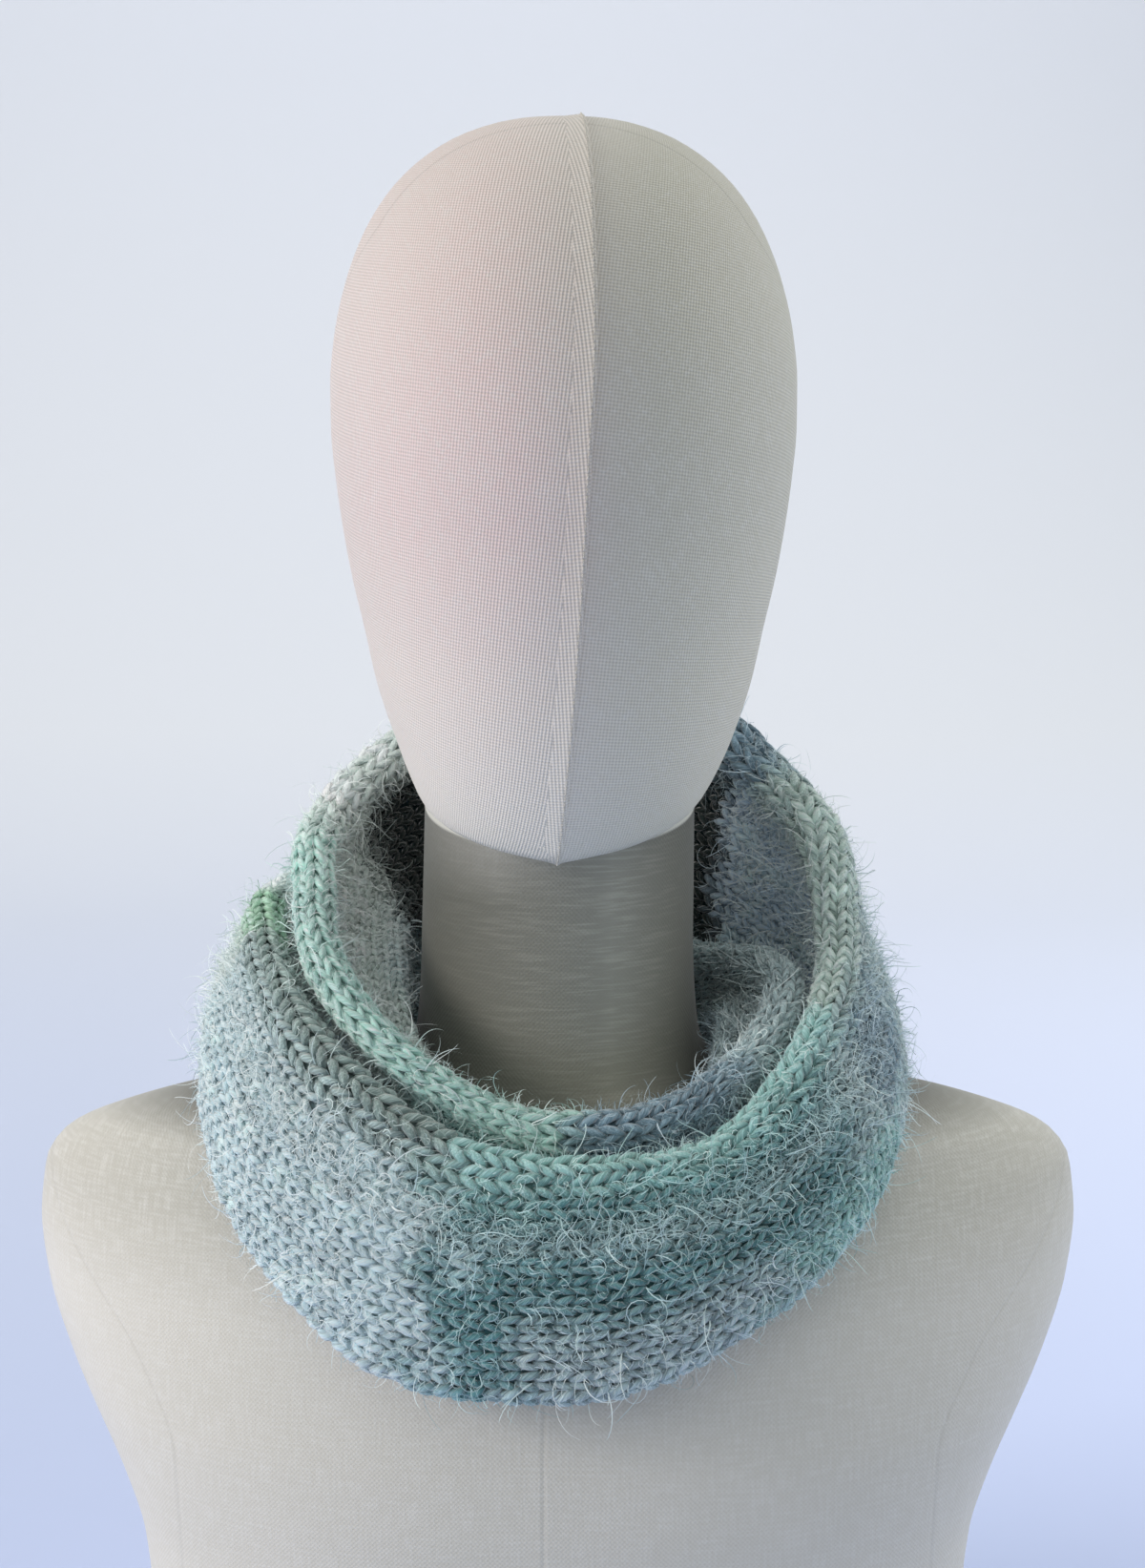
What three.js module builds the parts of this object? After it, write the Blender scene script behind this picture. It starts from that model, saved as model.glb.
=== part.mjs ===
// Infinity scarf, wound twice, on a limbless dress form.
// Millimetres. +Z is up, the form faces -Y and +X is to the right as one looks at its face.
// The origin is on the table, in the middle of the part's footprint.

import * as THREE from 'three';

// The form
const NECK_SEAM_Z = 367; // height of the seam between neck and head, on the form's middle line
const NECK_SEAM_SLOPE = 0.19; // that seam's rise per millimetre towards the back
const FORM_POINTS = 44; // points round one ring of the form
const FORM_RING_STEP = 11; // height between two rings of the torso
const HEAD_RING_STEP = 12; // height between two rings of the head

// The scarf
const SCARF_CENTRE_Y = 5; // the loops are laid out round this point, just behind the throat
const FACE_STEP = 6; // degrees between two stations along the scarf
const RIM_ROLL = 0.34; // how much the rolled upper fold is thicker than the flat of the band
const RIM_ROLL_REACH = 0.13; // how far down the band that roll reaches, as a share of its width
const GROOVE = 0.2; // how much thinner the band is in the groove under the roll
const GROOVE_AT = 0.28;
const GROOVE_REACH = 0.09;

const SEAM_GAP = 0.3; // clearance where two pieces meet

// Torso and neck. Each row is a level ring: half its width, its front and its back along Y, its middle
// along X, how square it is (2 is an ellipse), how far its sides are swept back and its rise towards the back.
const TORSO_RINGS = [
  { z: 0, halfWidth: 157, front: -100, back: 86, middle: 0, square: 2.3, sweep: 0, slope: 0 },
  { z: 62, halfWidth: 157, front: -107, back: 92, middle: 0, square: 2.3, sweep: 0, slope: 0 },
  { z: 87, halfWidth: 159.5, front: -108, back: 94, middle: 0, square: 2.3, sweep: 1, slope: 0 },
  { z: 112, halfWidth: 168, front: -108, back: 96, middle: 0, square: 2.25, sweep: 3, slope: 0 },
  { z: 134, halfWidth: 179, front: -106, back: 97, middle: 0, square: 2.2, sweep: 6, slope: 0 },
  { z: 155, halfWidth: 190, front: -101, back: 97, middle: 0, square: 2.1, sweep: 9, slope: 0 },
  { z: 178, halfWidth: 199, front: -93, back: 95, middle: 0, square: 2, sweep: 12, slope: 0 },
  { z: 202, halfWidth: 203, front: -81, back: 91, middle: 0, square: 1.95, sweep: 14, slope: 0 },
  { z: 218, halfWidth: 202, front: -69, back: 86, middle: 0, square: 1.9, sweep: 15, slope: 0 },
  { z: 229, halfWidth: 195, front: -59, back: 81, middle: 0, square: 1.85, sweep: 15, slope: 0 },
  { z: 238, halfWidth: 177, front: -53, back: 76, middle: 0, square: 1.85, sweep: 13, slope: 0 },
  { z: 249, halfWidth: 138, front: -48, back: 69, middle: 0, square: 1.9, sweep: 9, slope: 0 },
  { z: 255, halfWidth: 102, front: -46, back: 64, middle: 0, square: 1.95, sweep: 5, slope: 0 },
  { z: 259, halfWidth: 76, front: -45, back: 61, middle: 0, square: 2, sweep: 2, slope: 0 },
  { z: 264, halfWidth: 61, front: -44.5, back: 59, middle: 0, square: 2, sweep: 0, slope: 0.01 },
  { z: 272, halfWidth: 55, front: -44.5, back: 58, middle: 0, square: 2, sweep: 0, slope: 0.03 },
  { z: 286, halfWidth: 53, front: -45, back: 57.5, middle: 0, square: 2, sweep: 0, slope: 0.06 },
  { z: 305, halfWidth: 52, front: -46, back: 57.5, middle: 0, square: 2, sweep: 0, slope: 0.1 },
  { z: 335, halfWidth: 51.5, front: -47, back: 58, middle: 0.5, square: 2, sweep: 0, slope: 0.16 },
  { z: NECK_SEAM_Z, halfWidth: 51, front: -48, back: 58, middle: 1, square: 2, sweep: 0, slope: NECK_SEAM_SLOPE },
];

// Head, with the same columns.
const HEAD_RINGS = [
  { z: NECK_SEAM_Z + SEAM_GAP, halfWidth: 48.5, front: -68, back: 58.5, middle: 1, square: 2, sweep: 0, slope: NECK_SEAM_SLOPE },
  { z: 370, halfWidth: 51.5, front: -72, back: 60, middle: 1.2, square: 2, sweep: 0, slope: 0.19 },
  { z: 380, halfWidth: 56.5, front: -83, back: 62, middle: 2, square: 2, sweep: 0, slope: 0.17 },
  { z: 398, halfWidth: 63.3, front: -96, back: 66, middle: 2.7, square: 2, sweep: 0, slope: 0.13 },
  { z: 415, halfWidth: 68.8, front: -104, back: 71, middle: 2.7, square: 2, sweep: 0, slope: 0.09 },
  { z: 433, halfWidth: 72.8, front: -110, back: 75.5, middle: 2.7, square: 2, sweep: 0, slope: 0.05 },
  { z: 450, halfWidth: 76.8, front: -115, back: 79, middle: 2.7, square: 2, sweep: 0, slope: 0.02 },
  { z: 468, halfWidth: 80, front: -118.5, back: 82, middle: 2.7, square: 2, sweep: 0, slope: 0 },
  { z: 485, halfWidth: 82.2, front: -121, back: 84, middle: 2.7, square: 2, sweep: 0, slope: 0 },
  { z: 502, halfWidth: 83.7, front: -122, back: 85.5, middle: 2.7, square: 2, sweep: 0, slope: 0 },
  { z: 519, halfWidth: 83.8, front: -121, back: 86, middle: 2.7, square: 2, sweep: 0, slope: 0 },
  { z: 536, halfWidth: 82.2, front: -117.5, back: 84.5, middle: 2.7, square: 2, sweep: 0, slope: 0 },
  { z: 553, halfWidth: 78.5, front: -110.5, back: 80, middle: 2.7, square: 2, sweep: 0, slope: 0 },
  { z: 570, halfWidth: 72.3, front: -100, back: 71.5, middle: 2.7, square: 2, sweep: 0, slope: 0 },
  { z: 586, halfWidth: 62.5, front: -85, back: 58, middle: 2.7, square: 2, sweep: 0, slope: 0 },
  { z: 598, halfWidth: 50, front: -68.5, back: 42, middle: 2.7, square: 2, sweep: 0, slope: 0 },
  { z: 606, halfWidth: 36, front: -51.5, back: 25, middle: 2.7, square: 2, sweep: 0, slope: 0 },
  { z: 610.5, halfWidth: 21, front: -34.5, back: 8.5, middle: 2.7, square: 2, sweep: 0, slope: 0 },
  { z: 612, halfWidth: 7, front: -20, back: -6, middle: 2.7, square: 2, sweep: 0, slope: 0 },
];

// The scarf's course. The turn counts degrees from the front of the outer loop, first round to the right,
// behind the neck and to the left, and runs twice round before the loop closes. Radius and height are
// given for the middle of the upper fold (rim) and of the lower fold (hem); the bow is how far the band
// swells outward between them, and flat is half its thickness: two layers of thick knitting.
const COURSE_DEGREES = 720;
const SCARF_COURSE = [
  { turn: 0, rimR: 100, rimZ: 245, hemR: 125, hemZ: 181, bow: 9, flat: 6 },
  { turn: 15, rimR: 101, rimZ: 245, hemR: 125, hemZ: 185, bow: 10, flat: 6 },
  { turn: 30, rimR: 102.5, rimZ: 247, hemR: 126, hemZ: 198, bow: 10, flat: 6.1 },
  { turn: 45, rimR: 105, rimZ: 260, hemR: 128, hemZ: 213, bow: 9, flat: 6.3 },
  { turn: 60, rimR: 107, rimZ: 279, hemR: 128.5, hemZ: 231, bow: 8, flat: 6.5 },
  { turn: 75, rimR: 107.5, rimZ: 295, hemR: 128, hemZ: 252, bow: 6, flat: 6.7 },
  { turn: 90, rimR: 107.5, rimZ: 311, hemR: 124, hemZ: 269, bow: 5, flat: 7 },
  { turn: 110, rimR: 111, rimZ: 342, hemR: 108, hemZ: 281, bow: 5, flat: 7.5 },
  { turn: 125, rimR: 108, rimZ: 361, hemR: 101.5, hemZ: 286, bow: 1, flat: 7 },
  { turn: 138, rimR: 103, rimZ: 379, hemR: 96, hemZ: 293, bow: 3, flat: 6.4 },
  { turn: 160, rimR: 92, rimZ: 393, hemR: 89, hemZ: 309, bow: 4, flat: 6 },
  { turn: 180, rimR: 86, rimZ: 396, hemR: 84, hemZ: 318, bow: 4, flat: 6 },
  { turn: 205, rimR: 92, rimZ: 386, hemR: 85, hemZ: 314, bow: 5, flat: 6.2 },
  { turn: 225, rimR: 98, rimZ: 370, hemR: 82, hemZ: 310, bow: 7, flat: 6.8 },
  { turn: 240, rimR: 102, rimZ: 353, hemR: 76, hemZ: 303, bow: 8, flat: 7 },
  { turn: 255, rimR: 98.5, rimZ: 338, hemR: 67, hemZ: 297, bow: 8, flat: 7 },
  { turn: 270, rimR: 92.5, rimZ: 324, hemR: 63.5, hemZ: 290, bow: 7, flat: 6.6 },
  { turn: 285, rimR: 91.5, rimZ: 311, hemR: 63, hemZ: 282, bow: 7, flat: 6.4 },
  { turn: 300, rimR: 90.5, rimZ: 298, hemR: 63, hemZ: 273, bow: 6, flat: 6.2 },
  { turn: 315, rimR: 88, rimZ: 284, hemR: 66, hemZ: 263, bow: 5, flat: 6 },
  { turn: 330, rimR: 84, rimZ: 271, hemR: 76, hemZ: 245, bow: 1, flat: 5.8 },
  { turn: 345, rimR: 80.5, rimZ: 261, hemR: 89, hemZ: 219, bow: -2, flat: 5.8 },
  { turn: 360, rimR: 79, rimZ: 256, hemR: 98, hemZ: 203, bow: -4, flat: 5.8 },
  { turn: 375, rimR: 80, rimZ: 256, hemR: 98, hemZ: 207, bow: -4, flat: 5.8 },
  { turn: 390, rimR: 82, rimZ: 260, hemR: 89, hemZ: 228, bow: -2, flat: 5.8 },
  { turn: 405, rimR: 85, rimZ: 268, hemR: 77, hemZ: 252, bow: 5, flat: 6 },
  { turn: 420, rimR: 87, rimZ: 278, hemR: 70, hemZ: 264.5, bow: 7, flat: 6.2 },
  { turn: 435, rimR: 87, rimZ: 287, hemR: 66, hemZ: 270, bow: 7, flat: 6.4 },
  { turn: 450, rimR: 86, rimZ: 293, hemR: 65.5, hemZ: 273, bow: 7, flat: 6.4 },
  { turn: 465, rimR: 83, rimZ: 293, hemR: 66, hemZ: 271, bow: 6, flat: 6.4 },
  { turn: 480, rimR: 80.5, rimZ: 291, hemR: 76, hemZ: 267, bow: 3, flat: 6.2 },
  { turn: 500, rimR: 77.5, rimZ: 289, hemR: 87, hemZ: 253, bow: 0, flat: 6 },
  { turn: 520, rimR: 79, rimZ: 289, hemR: 91, hemZ: 242, bow: 0, flat: 6 },
  { turn: 540, rimR: 89, rimZ: 294, hemR: 96, hemZ: 234, bow: 3, flat: 6 },
  { turn: 555, rimR: 101, rimZ: 301, hemR: 106, hemZ: 235, bow: 4, flat: 6.2 },
  { turn: 570, rimR: 110, rimZ: 310, hemR: 114, hemZ: 241, bow: 4, flat: 6.2 },
  { turn: 585, rimR: 116, rimZ: 317, hemR: 121, hemZ: 248, bow: 4, flat: 6.2 },
  { turn: 600, rimR: 118.5, rimZ: 319, hemR: 127, hemZ: 255, bow: 4, flat: 6.2 },
  { turn: 615, rimR: 117, rimZ: 316, hemR: 129, hemZ: 261, bow: 5, flat: 6.3 },
  { turn: 630, rimR: 112.5, rimZ: 309, hemR: 129, hemZ: 264, bow: 6, flat: 6.4 },
  { turn: 645, rimR: 109, rimZ: 299, hemR: 131, hemZ: 250, bow: 7, flat: 6.4 },
  { turn: 660, rimR: 107, rimZ: 287, hemR: 131, hemZ: 226, bow: 8, flat: 6.2 },
  { turn: 675, rimR: 105, rimZ: 273, hemR: 129, hemZ: 204.5, bow: 9, flat: 6 },
  { turn: 690, rimR: 103, rimZ: 259, hemR: 127, hemZ: 187, bow: 9, flat: 6 },
  { turn: 705, rimR: 101, rimZ: 249, hemR: 125, hemZ: 181, bow: 9, flat: 6 },
];

// One row for each stretch of the scarf that shows.
const SCARF_STRETCHES = [
  { name: 'scarf_front_outer', from: -75, to: 75 },
  { name: 'scarf_right_and_nape', from: 75, to: 195 },
  { name: 'scarf_left_inner', from: 195, to: 300 },
  { name: 'scarf_front_inner', from: 300, to: 420 },
  { name: 'scarf_right_inner', from: 420, to: 540 },
  { name: 'scarf_left_outer', from: 540, to: 645 },
];

// Places round half a section, from the top of the rim over the outside to the bottom of the hem.
const FOLD_ANGLES = [45, 90];
const FLAT_PLACES = [0.11, 0.2, 0.29, 0.4, 0.55, 0.7, 0.86];

const canvas = { color: 0xcfc9bb, roughness: 0.95, metalness: 0 };
const knitFront = { color: 0x7fa39b, roughness: 1, metalness: 0 };
const knitSide = { color: 0x7d8d93, roughness: 1, metalness: 0 };

// A smooth value between the rows of a table, without overshoot.
function smoothColumn(rows, key, column) {
  const slopes = rows.slice(1).map((row, i) => (row[column] - rows[i][column]) / (row[key] - rows[i][key]));
  const tangents = rows.map((row, i) => {
    if (i === 0) return slopes[0];
    if (i === rows.length - 1) return slopes[i - 1];
    const [before, after] = [slopes[i - 1], slopes[i]];
    return before * after <= 0 ? 0 : (2 * before * after) / (before + after);
  });
  return (at) => {
    const found = rows.findIndex((row) => row[key] > at);
    const i = Math.max(0, (found < 0 ? rows.length - 1 : found) - 1);
    const span = rows[i + 1][key] - rows[i][key];
    const u = (at - rows[i][key]) / span;
    const rise = u * u * (3 - 2 * u);
    const start = u * (1 - u) * (1 - u) * span;
    const end = -u * u * (1 - u) * span;
    return rows[i][column] * (1 - rise) + rows[i + 1][column] * rise + tangents[i] * start + tangents[i + 1] * end;
  };
}

function smoothTable(rows, key) {
  const columns = Object.keys(rows[0]).filter((column) => column !== key);
  const curves = columns.map((column) => [column, smoothColumn(rows, key, column)]);
  return (at) => Object.fromEntries(curves.map(([column, curve]) => [column, curve(at)]));
}

// A closed body skinned over rings that have the same number of points, each ring starting on its line
// of symmetry. The two end rings are closed by strips between mirrored points.
function solidThrough(rings) {
  const count = rings[0].length;
  const triangles = [];
  for (let r = 0; r < rings.length - 1; r += 1) {
    for (let i = 0; i < count; i += 1) {
      const j = (i + 1) % count;
      const [a, b, c, d] = [rings[r][i], rings[r][j], rings[r + 1][j], rings[r + 1][i]];
      triangles.push([a, b, c], [a, c, d]);
    }
  }
  for (const [ring, reversed] of [[rings[0], true], [rings.at(-1), false]]) {
    for (let i = 0; i < count / 2; i += 1) {
      const [a, b] = [ring[i], ring[i + 1]];
      const [c, d] = [ring[(count - i - 1) % count], ring[(count - i) % count]];
      const cap = i === 0 ? [[a, b, c]] : [[a, b, c], [a, c, d]];
      const closing = i === count / 2 - 1 ? [[a, b, d]] : cap;
      triangles.push(...closing.map((t) => (reversed ? [...t].reverse() : t)));
    }
  }
  const volume = triangles.reduce((sum, [a, b, c]) => sum + a.dot(b.clone().cross(c)) / 6, 0);
  const outward = volume > 0 ? triangles : triangles.map((t) => [...t].reverse());
  const geometry = new THREE.BufferGeometry().setFromPoints(outward.flat());
  geometry.computeVertexNormals();
  return geometry;
}

// A level or tilted ring of the form, from its right side round by the front.
function formRing(row, z) {
  const depth = (row.back - row.front) / 2;
  const middleY = (row.back + row.front) / 2;
  return Array.from({ length: FORM_POINTS }, (unused, i) => {
    const angle = (2 * Math.PI * i) / FORM_POINTS;
    const [c, s] = [Math.cos(angle), -Math.sin(angle)];
    const x = row.middle + row.halfWidth * Math.sign(c) * Math.abs(c) ** (2 / row.square);
    const sweep = row.sweep * Math.abs(c) ** 3;
    const y = middleY + sweep + depth * Math.sign(s) * Math.abs(s) ** (2 / row.square);
    return new THREE.Vector3(x, y, z + row.slope * y);
  });
}

// Rings at every row of the table, and between the rows where they are far apart.
function formSolid(rows, step) {
  const table = smoothTable(rows, 'z');
  const heights = [];
  rows.slice(1).forEach((row, i) => {
    const parts = Math.max(1, Math.round((row.z - rows[i].z) / step));
    for (let p = 0; p < parts; p += 1) {
      heights.push(rows[i].z + ((row.z - rows[i].z) * p) / parts);
    }
  });
  heights.push(rows.at(-1).z);
  return solidThrough(heights.map((z) => formRing(table(z), z)));
}

const course = smoothTable(
  [-1, 0, 1].flatMap((lap) => SCARF_COURSE.map((row) => ({ ...row, turn: row.turn + lap * COURSE_DEGREES }))),
  'turn',
);

// Half the band's thickness at a share s of its width below the rim.
function halfThickness(flat, s) {
  const roll = RIM_ROLL * Math.exp(-((s / RIM_ROLL_REACH) ** 2));
  const groove = GROOVE * Math.exp(-(((s - GROOVE_AT) / GROOVE_REACH) ** 2));
  return flat * (1 + roll - groove);
}

// One cross section of the scarf: a flattened tube whose two layers touch, standing in the upright plane
// that passes through the loops' centre at the given turn.
function scarfSection(turn, shift = 0) {
  const { rimR, rimZ, hemR, hemZ, bow, flat } = course(turn);
  const rim = new THREE.Vector2(rimR, rimZ);
  const hem = new THREE.Vector2(hemR, hemZ);
  const chord = hem.clone().sub(rim).normalize();
  const outward = new THREE.Vector2(-chord.y, chord.x);
  const belly = rim.clone().add(hem).multiplyScalar(0.5).addScaledVector(outward, 2 * bow);
  const middleLine = new THREE.QuadraticBezierCurve(rim, belly, hem);

  const pointAt = (s, side, fold = 90) => {
    const tangent = middleLine.getTangent(s);
    const normal = new THREE.Vector2(-tangent.y, tangent.x);
    const beyond = s < 0.5 ? -1 : 1;
    const a = THREE.MathUtils.degToRad(fold);
    const h = halfThickness(flat, s);
    return middleLine.getPoint(s)
      .addScaledVector(normal, side * h * Math.sin(a))
      .addScaledVector(tangent, beyond * h * Math.cos(a));
  };
  const half = (side) => [
    ...FOLD_ANGLES.map((a) => pointAt(0, side, a)),
    ...FLAT_PLACES.map((s) => pointAt(s, side)),
    ...[...FOLD_ANGLES].reverse().map((a) => pointAt(1, side, a)),
  ];
  const outline = [pointAt(0, 1, 0), ...half(1), pointAt(1, 1, 0), ...half(-1).reverse()];

  const angle = THREE.MathUtils.degToRad(turn);
  const radial = new THREE.Vector3(Math.sin(angle), -Math.cos(angle), 0);
  const along = new THREE.Vector3(Math.cos(angle), Math.sin(angle), 0);
  return outline.map(({ x, y }) => new THREE.Vector3(0, SCARF_CENTRE_Y, y)
    .addScaledVector(radial, x)
    .addScaledVector(along, shift));
}

function scarfStretch({ from, to }) {
  const steps = Math.round((to - from) / FACE_STEP);
  const rings = Array.from({ length: steps + 1 }, (unused, i) => {
    const shift = i === 0 ? SEAM_GAP / 2 : i === steps ? -SEAM_GAP / 2 : 0;
    return scarfSection(from + ((to - from) * i) / steps, shift);
  });
  return solidThrough(rings);
}

function piece(name, geometry, finish) {
  const mesh = new THREE.Mesh(geometry, new THREE.MeshStandardMaterial(finish));
  mesh.name = name;
  return mesh;
}

const standing = new THREE.Group();
standing.add(piece('form_body', formSolid(TORSO_RINGS, FORM_RING_STEP), canvas));
standing.add(piece('form_head', formSolid(HEAD_RINGS, HEAD_RING_STEP), canvas));
for (const stretch of SCARF_STRETCHES) {
  const finish = stretch.name.includes('front') ? knitFront : knitSide;
  standing.add(piece(stretch.name, scarfStretch(stretch), finish));
}

// The origin lies under the middle of the whole part.
const middle = new THREE.Box3().setFromObject(standing).getCenter(new THREE.Vector3());
standing.position.set(-middle.x, -middle.y, 0);

const part = new THREE.Group();
part.add(standing);

export default part;
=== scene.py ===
# %% [markdown]
# # A knitted infinity scarf on a dress form
#
# The real thing is a tube of soft wool, knitted in the round, joined into a loop of about 1.4 m
# and wound twice round the neck of a canvas-covered form. This lesson dresses a imported CAD model
# of it: the solids give the places and sizes, and every surface that shows is made here again, finer.
# The first cell loads that model.

# %% Load the imported model
import math
import bpy
import numpy as np
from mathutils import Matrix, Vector


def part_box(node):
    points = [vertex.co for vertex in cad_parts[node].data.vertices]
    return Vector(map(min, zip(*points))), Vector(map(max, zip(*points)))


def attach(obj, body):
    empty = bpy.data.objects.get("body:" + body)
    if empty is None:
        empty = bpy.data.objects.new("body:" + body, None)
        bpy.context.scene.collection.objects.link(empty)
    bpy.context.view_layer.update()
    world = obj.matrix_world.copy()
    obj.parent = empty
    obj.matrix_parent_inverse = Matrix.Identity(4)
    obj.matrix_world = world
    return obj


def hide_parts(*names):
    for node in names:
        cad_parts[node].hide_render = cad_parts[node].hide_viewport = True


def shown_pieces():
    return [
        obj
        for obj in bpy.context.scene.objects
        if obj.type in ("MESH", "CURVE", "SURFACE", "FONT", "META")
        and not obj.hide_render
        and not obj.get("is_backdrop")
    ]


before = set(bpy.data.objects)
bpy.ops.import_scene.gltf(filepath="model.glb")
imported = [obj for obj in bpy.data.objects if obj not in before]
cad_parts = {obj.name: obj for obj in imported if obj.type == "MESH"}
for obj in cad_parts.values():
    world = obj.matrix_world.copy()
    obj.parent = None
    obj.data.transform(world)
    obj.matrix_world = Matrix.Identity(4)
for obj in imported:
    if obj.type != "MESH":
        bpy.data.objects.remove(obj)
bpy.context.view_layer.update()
MM = 0.001
print("CAD nodes:", ", ".join(sorted(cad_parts)))

# %% [markdown]
# ## The camera
#
# The photograph was taken from about the height of the face, 90 cm away, looking down by eight degrees.
# A camera that stands nearer makes the shoulders smaller against the head, so the distance matters as
# much as the lens. The lens follows from the picture: 2500 pixels of focal length on a frame 1644 high.

# %% Camera
PICTURE_HEIGHT = 1644
FOCAL_PIXELS = 2500
CAMERA_TILT = math.radians(8)
camera_data = bpy.data.cameras.new("camera")
camera_data.sensor_width = 36
camera_data.lens = FOCAL_PIXELS * camera_data.sensor_width / PICTURE_HEIGHT
camera = bpy.data.objects.new("camera", camera_data)
camera.location = (0.0058, -0.8856, 0.4953)
camera.rotation_euler = (math.pi / 2 - CAMERA_TILT, 0, 0)
bpy.context.scene.collection.objects.link(camera)
bpy.context.scene.camera = camera
print(f"lens {camera_data.lens:.1f} mm")

# %% [markdown]
# ## A workbench for nodes
#
# Materials and Geometry Nodes are both trees of nodes. Wiring them one link at a time is hard to read,
# so two small classes do it: a Workbench adds a node with its settings and its inputs in one call, and a
# Signal is one output of a node, on which + - * / and ** add the Math nodes. The same sum then reads
# here as it would on paper.

# %% Workbench and Signal
def enabled_socket(sockets, key):
    """The first socket in use, or the one with that number or name."""
    if isinstance(key, int):
        return sockets[key]
    return next(s for s in sockets if s.enabled and key in (None, s.name))


class Signal:
    """One output socket; arithmetic on it adds Math nodes."""

    def __init__(self, bench, socket):
        self.bench = bench
        self.socket = socket

    def __add__(self, other):
        return self.bench.maths("ADD", self, other)

    __radd__ = __add__

    def __sub__(self, other):
        return self.bench.maths("SUBTRACT", self, other)

    def __rsub__(self, other):
        return self.bench.maths("SUBTRACT", other, self)

    def __mul__(self, other):
        return self.bench.maths("MULTIPLY", self, other)

    __rmul__ = __mul__

    def __truediv__(self, other):
        return self.bench.maths("DIVIDE", self, other)

    def __abs__(self):
        return self.bench.maths("ABSOLUTE", self)


class Workbench:
    """Adds nodes to one tree."""

    def __init__(self, tree):
        self.tree = tree

    def node(self, kind, settings=None, inputs=None, output=None):
        made = self.tree.nodes.new(kind)
        for key, value in (settings or {}).items():
            setattr(made, key, value)
        for key, value in (inputs or {}).items():
            socket = enabled_socket(made.inputs, key)
            if isinstance(value, Signal):
                self.tree.links.new(value.socket, socket)
            else:
                socket.default_value = value
        return Signal(self, enabled_socket(made.outputs, output)) if len(made.outputs) else None

    def maths(self, operation, *values):
        return self.node("ShaderNodeMath", {"operation": operation}, dict(enumerate(values)))

    def clamp(self, value):
        return self.node("ShaderNodeMath", {"operation": "MULTIPLY", "use_clamp": True}, {0: value, 1: 1.0})

    def vector_maths(self, operation, *values):
        return self.node("ShaderNodeVectorMath", {"operation": operation}, dict(enumerate(values)))

    def mix(self, share, first, second):
        return self.node("ShaderNodeMix", {"data_type": "RGBA"}, {"Factor": share, "A": first, "B": second}, "Result")

    def scaled(self, vector, scale):
        return self.node("ShaderNodeVectorMath", {"operation": "SCALE"}, {"Vector": vector, "Scale": scale})

    def part(self, vector, axis):
        return self.node("ShaderNodeSeparateXYZ", inputs={"Vector": vector}, output=axis)

    def stretched(self, vector, scale):
        return self.node("ShaderNodeMapping", inputs={"Vector": vector, "Scale": scale})

    def noise(self, vector, scale=1.0, detail=2.0):
        return self.node("ShaderNodeTexNoise", inputs={"Vector": vector, "Scale": scale, "Detail": detail})

    def attribute(self, name, output="Fac"):
        """A number or colour that the mesh keeps for every point."""
        return self.node("ShaderNodeAttribute", {"attribute_name": name}, output=output)

    def turned_by(self, rotation, turn):
        return self.node("FunctionNodeRotateRotation", {"rotation_space": "LOCAL"},
                         {"Rotation": rotation, "Rotate By": turn})

    def bump(self, strength, distance, height):
        return self.node("ShaderNodeBump", inputs={"Strength": strength, "Distance": distance, "Height": height})

    def chance(self, low, high, seed):
        """A number by chance for each element, the same in every run."""
        return self.node("FunctionNodeRandomValue", {"data_type": "FLOAT"}, {"Min": low, "Max": high, "Seed": seed})

    def surface(self, inputs):
        """Ends a material in a Principled shader."""
        shader = self.node("ShaderNodeBsdfPrincipled", inputs=inputs)
        self.node("ShaderNodeOutputMaterial", inputs={"Surface": shader})


def paint(code):
    """A colour from its hex code, as the linear values that Blender works in."""
    values = [int(code[i:i + 2], 16) / 255 for i in (1, 3, 5)]
    linear = [v / 12.92 if v <= 0.04045 else ((v + 0.055) / 1.055) ** 2.4 for v in values]
    return (*linear, 1.0)


def new_material(name):
    material = bpy.data.materials.new(name)
    material.use_nodes = True
    material.node_tree.nodes.clear()
    return material, Workbench(material.node_tree)

# %% [markdown]
# ## A plain pale room and soft light
#
# The form stands before a pale, slightly blue wall. One sheet makes floor and wall, with a wide cove
# between them so that no line crosses the picture. Its paint holds painted light and shade: bluer and
# darker low down, lightest high up, and low down lighter and bluer at the right. The light is a soft
# panel on the left, a weaker one behind at the right and one that washes the wall; the rest comes from
# the pale room itself. Large panels give the slow change from light to shade that matt canvas shows.

# %% Floor and wall
WALL_AT = 2.7
COVE_RADIUS = 1.1
STAGE_HALF_WIDTH = 4.5


def stage_profile():
    """Points (y, z) from the front of the floor to the top of the wall."""
    points = [(-4.0, 0.0), (-1.0, 0.0), (WALL_AT - COVE_RADIUS, 0.0)]
    for step in range(1, 25):
        angle = math.pi / 2 * step / 24
        points.append((WALL_AT - COVE_RADIUS + COVE_RADIUS * math.sin(angle), COVE_RADIUS * (1 - math.cos(angle))))
    return points + [(WALL_AT, 4.0)]


def new_mesh(name, points, faces):
    mesh = bpy.data.meshes.new(name)
    mesh.from_pydata([tuple(p) for p in points], [], [tuple(f) for f in faces])
    mesh.shade_smooth()
    return mesh


def belt(rows, count, first=0):
    """Quads between neighbouring closed rings of count points; the first two corners lie on one ring."""
    corners = [(first + r * count, i, (i + 1) % count) for r in range(rows - 1) for i in range(count)]
    return [(ring + i, ring + j, ring + count + j, ring + count + i) for ring, i, j in corners]


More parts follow.
